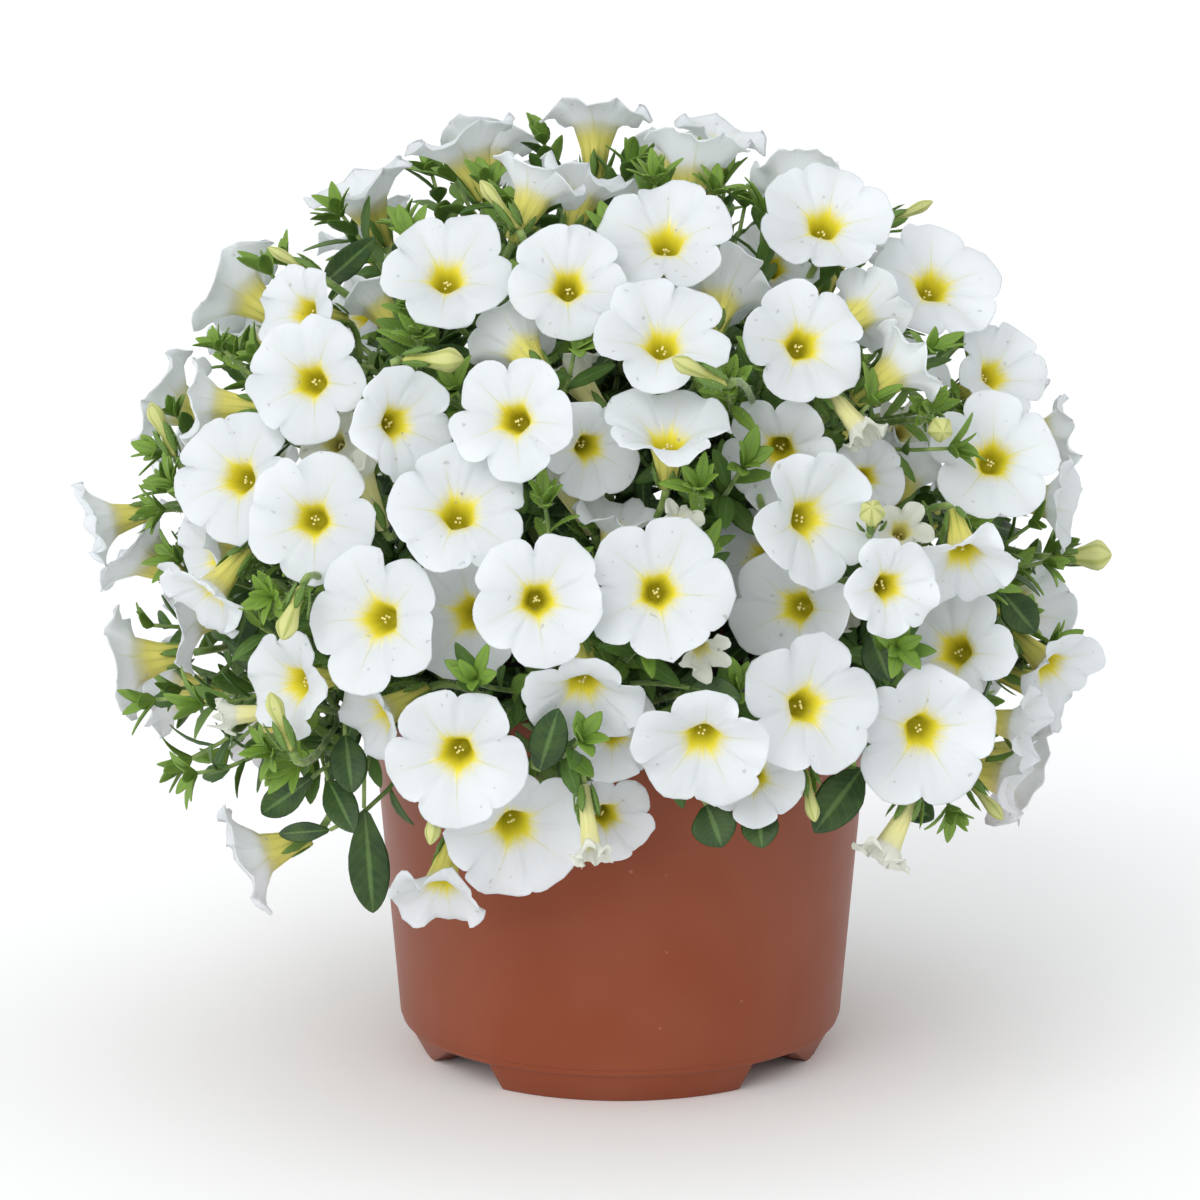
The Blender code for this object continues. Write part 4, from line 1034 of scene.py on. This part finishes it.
def calyx(bm, bloom, tone):
    """Five narrow sepals that stand round the foot of the tube."""
    place = set_facing(bloom.end, bloom.facing, bloom.top)
    foot = 1.5 * MM if bloom.bud else 1.9 * MM
    for k in range(5):
        angle = 2 * math.pi * (k + 0.5) / 5 + petal_draws.uniform(-0.12, 0.12)
        lift = math.radians(petal_draws.uniform(58, 76) if bloom.bud else petal_draws.uniform(48, 70))
        out = pick_turned(place, angle, lift)
        base = place @ round_point(angle, foot)
        length = petal_draws.uniform(7, 10) * MM
        inward = bloom.facing * 0.3 - pick_turned(place, angle, 0)
        brush = None if bloom.far else LEAF_BRUSH
        leaf(bm, base, out, inward, length, 2.3 * MM, tone, 6, SEPAL_ALONG, -0.5, brush=brush)


def anthers(bm, bloom):
    """The tiny stigma and anthers that show in the throat."""
    start = petal_draws.uniform(0, 6.28)
    for k in range(5):
        angle = start + k * GOLDEN_ANGLE
        reach = petal_draws.uniform(0.5, 1.1) * MM if k else 0.0
        spot = bloom.place @ Matrix.Translation(round_point(angle, reach, -(7.0 + 0.4 * k) * MM))
        made = bmesh.ops.create_icosphere(bm, subdivisions=1, radius=0.36 * MM, matrix=spot)
        for face in {face for vert in made["verts"] for face in vert.link_faces}:
            face.material_index = 4


def petal():
    """Thin white petal: yellow in the throat, five veins that fade outwards, a yellow-green tube."""
    finish = Finish("petal")
    around, along, tone = finish.laid()
    young = tone.step(2.4, 2.6)
    shut = tone.step(3.4, 3.6)
    phase = (around * 5) % 1.0
    front = 1 - along.step(0.4999, 0.5001)
    reach = 0.5 - abs(along - 0.5)
    share = (reach - 0.2) / 0.3
    radius = 0.27 + 0.73 * share
    off = abs(phase - 0.5) * radius * 1.2566
    lines = finish.node("CombineXYZ", {}, {0: around * 150, 1: reach * 2, 2: tone})
    streak = finish.speckle(1, 1, lines)
    fine = finish.node("CombineXYZ", {}, {0: around * 420, 1: reach * 6, 2: 3.0})
    hair = finish.speckle(1, 0, fine)
    vein = (1 - off.step(0.002, 0.012)) * (1 - share.step(0.25, 1.0)) * share.step(-0.4, 0.1)
    near_vein = 1 - off.step(0.0, 0.09)
    glow = 1 - (share - (streak - 0.5) * 0.36 - near_vein * 0.06).step(-0.16, 0.20)
    deep = 1 - reach.step(0.06, 0.20)
    # Painted shade: the white is mixed toward PETAL_SHADE along the fold lines between the lobes (where
    # fold is low), on top of a random soft grey mottle.
    fold = 1 - abs(phase - 0.5).step(0.30, 0.5)
    mottle = finish.speckle(120, 0).step(0.35, 0.75)
    white = finish.mix(mottle * 0.35 + (1 - fold) * 0.22, PETAL_WHITE, PETAL_SHADE)
    white = finish.mix(hair.step(0.5, 0.8) * 0.12, white, PETAL_SHADE)
    inside = finish.mix(vein * (0.8 - 0.5 * share.step(0.1, 0.7)), white, VEIN_GREEN)
    inside = finish.mix(glow, inside, THROAT_YELLOW)
    # The bottom of the throat is mixed toward a darker olive: partly the throat's own colour, partly
    # painted shade in the recess.
    inside = finish.mix(deep * (0.5 + 0.5 * streak), inside, THROAT_OLIVE_SHADE)
    side_vein = 1 - abs(((phase - 0.5) / (0.3 + radius) * 5) % 1.0 - 0.5).step(0.0, 0.07)
    back_vein = (1 - off.step(0.008, 0.03)) + side_vein * 0.2
    tube = 1 - share.step(-0.15, 0.30)
    back = finish.mix(back_vein * (1 - share.step(0.1, 0.95)) * 0.6, PETAL_BACK, VEIN_GREEN)
    back = finish.mix(tube, back, TUBE_YELLOW)
    stripes = (1 - abs((phase * 2) % 1.0 - 0.5).step(0.05, 0.22)) * (1 - share.step(-0.5, 0.1))
    back = finish.mix(stripes * 0.55 + (1 - reach.step(0.0, 0.12)) * 0.35, back, TUBE_GREEN)
    colour = finish.mix(front, back, inside)
    colour = finish.mix(young * (0.25 + 0.4 * streak), colour, PETAL_CREAM)
    colour = finish.mix(shut * (0.6 + 0.4 * streak), colour, BUD_YELLOW)
    colour = finish.mix(shut * (1 - abs(phase - 0.5).step(0.05, 0.25)) * 0.6, colour, TUBE_GREEN)
    colour = finish.mix(finish.speckle(640, 0).step(0.80, 0.84) * 0.6, colour, PETAL_SPECK)
    face = {
        "Base Color": colour,
        "Roughness": 0.55,
        "Specular IOR Level": 0.25,
        "Normal": finish.bump(streak, 0.00024, 0.6),
    }
    dyed = front * glow + (1 - front) * tube
    return finish.done(face, PETAL_CLEAR, 0.5 * (1 - dyed) * (1 - shut * 0.9))


LEAF_OLD_SHADED = (0.012, 0.038, 0.009, 1)
LEAF_GREEN = (0.048, 0.125, 0.018, 1)
LEAF_BRIGHT = (0.24, 0.40, 0.050, 1)
LEAF_RIB = (0.17, 0.29, 0.08, 1)
LEAF_CLEAR = (0.22, 0.42, 0.04, 1)
LEAF_TONES = 8


def leaf_skin():
    """Soft green leaf: a paler midrib and side veins, darker when old and yellow-green when young; the
    darkest tones are also painted shade deep in the plant.
    """
    finish = Finish("leaf")
    around, along, tone = finish.laid()
    tone = tone / (LEAF_TONES - 1)
    upper = 1 - around.step(0.499, 0.501)
    off = abs(around % 0.5 - 0.25) * 4
    rib = (1 - off.step(0.03, 0.12)) * (1 - along.step(0.7, 1.0) * 0.6)
    side = 1 - abs(((along * 9 - off * 2.2) % 1.0) - 0.5).step(0.02, 0.16)
    young = finish.mix(tone.step(0.45, 1.0), LEAF_GREEN, LEAF_BRIGHT)
    colour = finish.mix(tone.step(0.0, 0.6), LEAF_OLD_SHADED, young)
    mottle = finish.speckle(210, 1)
    colour = finish.mix((mottle - 0.35) * 0.35, colour, LEAF_BRIGHT)
    colour = finish.mix(rib * 0.5 + side * 0.10, colour, LEAF_RIB)
    colour = finish.mix((1 - upper) * 0.30, colour, LEAF_RIB)
    height = finish.speckle(900, 0) * 0.5 - rib * 0.8
    face = {
        "Base Color": colour,
        "Roughness": 0.42 + 0.14 * mottle,
        "Specular IOR Level": 0.4,
        "Normal": finish.bump(height, 0.00022, 0.6),
    }
    return finish.done(face, LEAF_CLEAR, 0.05 + 0.22 * tone)


def anther_skin():
    """Pale yellow pollen grain."""
    finish = Finish("anther")
    colour = finish.mix(finish.speckle(2500, 2), (0.80, 0.70, 0.22, 1), (0.85, 0.82, 0.50, 1))
    height = finish.bump(finish.speckle(5000, 2), 0.00008, 0.6)
    return finish.done({"Base Color": colour, "Roughness": 0.7, "Normal": height})


def bends(direction, size):
    """Small sideways shifts to try in turn, none first, for a path that runs along direction."""
    place = set_facing(Vector(), direction, Vector((0.2, 0.3, 1))).to_3x3()
    shifts = [Vector()]
    for reach in (0.5, 1.0, 1.6):
        for k in range(6):
            angle = math.pi * k / 3
            shifts.append(place @ Vector((math.cos(angle), math.sin(angle), 0)) * reach * size)
    return shifts


def crosses(tree, path):
    """Whether a path runs into anything of a search tree."""
    for before, after in zip(path, path[1:]):
        way = after - before
        if tree.ray_cast(before, way.normalized(), way.length)[0] is not None:
            return True
    return False


def stalk_path(tree, bloom, joint):
    """A bloom's stalk: it leaves the tube straight and then turns to the joint, clear of other blooms."""
    start = bloom.end
    found = None
    for shift in bends((joint - start).normalized(), 5 * MM):
        knee = start - 8 * MM * bloom.facing + shift
        back = joint + 0.3 * (knee - joint)
        path = bezier(start, knee, back, joint, 8)
        found = found or path
        if not crosses(tree, [start - 3.5 * MM * bloom.facing] + path[4:]):
            return path
    return found


taken = []
blooms = seen_blooms(taken) + far_blooms(taken)
sprays = share_out(blooms, stems)

guard_points = []
guard_faces = []
for bloom in blooms:
    points, faces = bloom_guard(bloom.place, bloom.half, bloom.bud)
    guard_faces += [tuple(i + len(guard_points) for i in face) for face in faces]
    guard_points += points
guard_tree = BVHTree.FromPolygons(guard_points, guard_faces)

petal_finish = petal()
leaf_finish = leaf_skin()
anther_finish = anther_skin()
for number, (stem_number, run) in enumerate(sprays):
    shape = bmesh.new()
    direction = stems[stem_number][1]
    mean = sum(((bloom.end - BALL_CENTRE).normalized() for bloom in run), Vector()).normalized()
    nearest = min((bloom.end - BALL_CENTRE).length for bloom in run)
    fork = BALL_CENTRE + min(FORK_REACH, nearest - 7 * MM) * (mean + 0.3 * (direction - mean)).normalized()
    seat = min(paths[stem_number][5:], key=lambda point: (point - fork).length)
    lead = (seat + fork) / 2 + 0.15 * (fork - seat).length * direction
    tube(shape, bezier(seat, lead, lead, fork, 6), 1.0 * MM, 0.8 * MM, 6)
    for bloom in run:
        if bloom.bud:
            shut_bud(shape, bloom)
        else:
            open_bloom(shape, bloom)
            if not bloom.far:
                anthers(shape, bloom)
        calyx(shape, bloom, 5)
        path = stalk_path(guard_tree, bloom, fork)
        tube(shape, path, 1.0 * MM, 0.75 * MM, 6, None if bloom.far else STALK_BRUSH)
    closed(shape)
    finishes = [stem_finish, leaf_finish, hair_finish, petal_finish, anther_finish]
    as_piece(f"bloom_spray_{number + 1:02d}", shape, finishes, "blooms", f"spray_{number + 1:02d}")

# The foliage grows on thin side shoots of each stem: soft blunt leaves, set spirally, large and
# dark inside the plant, smaller and brighter outwards, and crowded at each growing tip. The dark
# inner leaves are old, and their darkness is partly painted shade.
SHOOT_SINKS = (8, 5, 11, 14, 17, 21, 26, 32)
LEAF_SINKS = (0, 3, -3, 6, -6, 9, 12, 16, 20, 26)

# Leafy shoots on the seen side: pixels to the growing tip, and degrees turned right and turned up
SEEN_SHOOTS = (
    (160, 452, -80, 10),
    (222, 348, -60, 45),
    (418, 338, -10, 60),
    (272, 598, -40, -10),
    (275, 752, -60, 20),
    (728, 388, -10, 50),
    (700, 490, 0, 50),
    (930, 408, 20, 20),
    (1045, 562, 70, 10),
    (950, 808, 30, -30),
    (715, 192, 20, 70),
    (525, 222, -30, 70),
    (862, 378, 40, 50),
    (545, 505, -10, 60),
    (968, 520, 40, 0),
    (655, 182, -20, 80),
    (162, 510, -70, -20),
    (285, 262, -60, 50),
)

# Large leaves on that side: pixels to the base and to the tip, and width in mm
SEEN_LEAVES = (
    (364, 808, 374, 922, 10),
    (312, 778, 256, 818, 8),
    (328, 780, 352, 828, 8),
    (345, 735, 352, 790, 9),
    (330, 830, 278, 834, 5),
    (706, 805, 722, 846, 11),
    (758, 808, 762, 846, 9),
    (862, 768, 818, 828, 11),
    (322, 285, 366, 246, 7),
    (252, 590, 238, 642, 9),
    (1002, 592, 1036, 632, 9),
    (870, 632, 890, 682, 9),
    (690, 688, 738, 698, 8),
    (560, 210, 604, 198, 6),
    (1018, 532, 974, 520, 5),
    (905, 800, 932, 818, 7),
    (1008, 664, 1040, 646, 5),
    (540, 770, 556, 716, 9),
)
INNER_ALONG = (0, 0.15, 0.42, 0.7, 0.92, 1)
TIP_ALONG = (0, 0.12, 0.35, 0.6, 0.82, 0.95, 1)
# A shoot's leaves: how many along it, their length, width and tone, how many at its tip, their hairs
SEEN_TIP = (10, 15 * MM, 5.2 * MM, 6, 9, LEAF_BRUSH)
LEAF_BEARER = (3, 14 * MM, 5.5 * MM, 3, 0)
OUTER_SHOOTS = 230
OUTER_SHOOT = (10, 16 * MM, 6.2 * MM, 4, 6)
# Inner and lip shoots take the darkest leaf tone: older leaves, darkened further as painted shade where
# they lie deep in the plant and under the blooms.
INNER_SHOOTS = 130
INNER_SHOOT = (9, 21 * MM, 8 * MM, 1, 3)
LIP_SHOOTS = 30
LIP_SHOOT = (7, 18 * MM, 7 * MM, 1, 3)
BROAD_ALONG = (0, 0.05, 0.15, 0.27, 0.4, 0.52, 0.64, 0.75, 0.85, 0.92, 0.97, 1)

leaf_draws = random.Random(23)
pot_tree = BVHTree.FromObject(pot, bpy.context.evaluated_depsgraph_get())


def is_free(base, out, up, length, width):
    """Whether a leaf's midrib and edges keep clear of blooms, the pot and the ground."""
    side = out.cross(up).normalized() * 0.42 * width
    lines = (
        (base + 0.8 * MM * out, base + length * out),
        (base + 0.3 * length * out + side, base + 0.92 * length * out + 0.7 * side),
        (base + 0.3 * length * out - side, base + 0.92 * length * out - 0.7 * side),
    )
    for start, end in lines:
        way = end - start
        if guard_tree.ray_cast(start, way.normalized(), way.length)[0] is not None:
            return False
        if pot_tree.ray_cast(start + AXIS, way.normalized(), way.length)[0] is not None:
            return False
    return True


def leafed_shoot(bm, path, count, length, width, tone, tip_leaves, brush=None):
    """A thin side shoot along its path to its growing tip, with leaves set spirally along it."""
    tube(bm, path, 0.85 * MM, 0.5 * MM, 6, STALK_BRUSH if brush else None)
    draw = leaf_draws.uniform
    spin = draw(0, 6.28)
    fine = tone > 2
    for k in range(count + tip_leaves):
        crown = k >= count
        share = min(0.98, 0.30 + 0.66 * k / max(count, 1)) if not crown else 0.985
        at = min(int(share * 8), 7)
        point = path[at].lerp(path[at + 1], share * 8 - at)
        along = (path[at + 1] - path[at]).normalized()
        place = set_facing(point, along, Vector((0.21, 0.13, 1)))
        if crown:
            lift = math.radians(draw(38, 82))
            size = length * draw(0.45, 0.72)
            wide = width * draw(0.55, 0.78)
            shade = min(LEAF_TONES - 1, tone + 2)
        else:
            lift = math.radians(draw(10, 40) + 30 * share**2)
            size = length * draw(0.8, 1.1) * (1.05 - 0.3 * share)
            wide = width * draw(0.85, 1.1) * (1.0 - 0.3 * share)
            shade = max(0, min(LEAF_TONES - 1, tone + leaf_draws.choice((-1, 0, 0, 1))))
        for attempt in range(3):
            angle = spin + k * GOLDEN_ANGLE + attempt * 1.3
            out = pick_turned(place, angle, lift)
            if is_free(point, out, along, size, wide):
                sides, steps = (8, TIP_ALONG) if fine else (6, INNER_ALONG)
                curl = draw(0.1, 0.8)
                leaf(bm, point, out, along, size, wide, shade, sides, steps, curl, brush=brush)
                break
            size *= 0.8


def first_free_tip(tips):
    """The first of these tips that isn't inside or against a bloom."""
    for tip in tips:
        near = guard_tree.find_nearest(tip)
        if near[3] > 3 * MM:
            return tip
    return tips[-1]


def side_shoot(tip, heading, leaves, needed=False):
    """A shoot to this tip, made part of the nearest stem's shape if it finds a clear way."""
    number = nearest_stem(stems, tip)
    points = paths[number][3:]
    points.sort(key=lambda point: (point - tip).length + 0.8 * (point - BALL_CENTRE).length)
    path = None
    for start in points[:3]:
        way = tip - start
        lead = 0.35 * way.length * (stems[number][1] + 0.6 * way.normalized()).normalized()
        back = tip - 0.35 * way.length * heading
        for shift in bends(way.normalized(), 0.18 * way.length):
            tried = bezier(start, start + lead + shift, back + shift, tip, 8)
            by_pot = [point + AXIS for point in tried]
            if not crosses(guard_tree, tried) and not crosses(pot_tree, by_pot):
                leafed_shoot(stem_shapes[number], tried, *leaves)
                return True
            path = path or tried
    if needed:
        leafed_shoot(stem_shapes[number], path, *leaves)
    return needed


for across, down, right, up in SEEN_SHOOTS:
    ray = sight(across, down)
    tip = first_free_tip([on_ball(ray, BALL_RADIUS - sink * MM) for sink in SHOOT_SINKS])
    side_shoot(tip, turned(ray, right, up), SEEN_TIP, True)

for base_across, base_down, tip_across, tip_down, width in SEEN_LEAVES:
    ray = sight(base_across, base_down)
    for sink in LEAF_SINKS:
        base = on_ball(ray, BALL_RADIUS - (14 + sink) * MM)
        tip = on_ball(sight(tip_across, tip_down), BALL_RADIUS - (5 + sink) * MM)
        out = (tip - base).normalized()
        if is_free(base, out, -ray, (tip - base).length, width * MM):
            break
    number = nearest_stem(stems, base)
    shape = stem_shapes[number]
    # The large leaves take the dark tone 1: older leaves low in the plant, their darkness partly painted
    # shade.
    leaf(shape, base, out, -ray, (tip - base).length, width * MM, 1, 12, BROAD_ALONG, 0.3, 2.2)
    side_shoot(base, out, LEAF_BEARER, True)

for out in spread(OUTER_SHOOTS, 0.37):
    if out.z < -0.45 or (out.y < -0.3 and out.z < -0.30):
        continue
    reach = BALL_RADIUS - leaf_draws.uniform(4, 16) * MM
    tip = first_free_tip([BALL_CENTRE + (reach - k * 3 * MM) * out for k in range(8)])
    heading = (out + 0.5 * Vector((0, 0, 1)) + 0.3 * Vector([leaf_draws.uniform(-1, 1) for _ in range(3)]))
    side_shoot(tip, heading.normalized(), OUTER_SHOOT)

for out in spread(INNER_SHOOTS, 0.81):
    if out.z < -0.30:
        continue
    reach = leaf_draws.uniform(58, 88) * MM
    tip = first_free_tip([BALL_CENTRE + (reach - k * 4 * MM) * out for k in range(5)])
    side_shoot(tip, (out + Vector((0, 0, 0.4))).normalized(), INNER_SHOOT)

# Low leaves that hide the pot's lip
for k in range(LIP_SHOOTS):
    angle = 2 * math.pi * (k + leaf_draws.uniform(0, 0.6)) / LIP_SHOOTS
    out = Vector((math.cos(angle), math.sin(angle), 0))
    tip = leaf_draws.uniform(72, 80) * MM * out + Vector((0, 0, leaf_draws.uniform(99, 110) * MM))
    side_shoot(tip, (out - Vector((0, 0, 0.25))).normalized(), LIP_SHOOT)

for number, shape in enumerate(stem_shapes):
    closed(shape)
    name = f"stem_{number + 1:02d}"
    as_piece("leafy_" + name, shape, [stem_finish, leaf_finish, hair_finish], "foliage", name)

# The plant stands on a plain pale floor in a bright white room, with one broad soft light that
# falls from high in front on the left.
bpy.ops.mesh.primitive_plane_add(size=16, location=(0, 3, 0))
floor = bpy.context.object
floor.name = "floor"
paint = Finish("floor_paint")
cloud = paint.mix(paint.speckle(3, 0), (0.95, 0.95, 0.95, 1), (0.96, 0.96, 0.96, 1))
floor.data.materials.append(paint.done({"Base Color": cloud, "Roughness": 0.9}))

window_data = bpy.data.lights.new("window", "SUN")
window_data.angle = math.radians(50)
window_data.energy = 1.4
window = bpy.data.objects.new("window", window_data)
window.rotation_euler = Vector((0.50, 0.90, -0.62)).to_track_quat("-Z", "Y").to_euler()
bpy.context.scene.collection.objects.link(window)

room = bpy.data.worlds.new("room")
room.use_nodes = True
walls = room.node_tree.nodes["Background"]
walls.inputs["Color"].default_value = (0.97, 0.985, 1.0, 1)
walls.inputs["Strength"].default_value = 0.94
bpy.context.scene.world = room
bpy.context.scene.view_settings.view_transform = "Standard"

# The camera stands where the plant was seen from, a little above it.
camera_data = bpy.data.cameras.new("camera")
camera_data.sensor_width = 36
camera_data.lens = EYE_FOCUS / (2 * FRAME_MIDDLE) * camera_data.sensor_width
camera = bpy.data.objects.new("camera", camera_data)
camera.location = AXIS + EYE
camera.rotation_euler = (math.radians(90) + EYE_PITCH, 0, 0)
bpy.context.scene.collection.objects.link(camera)
bpy.context.scene.camera = camera
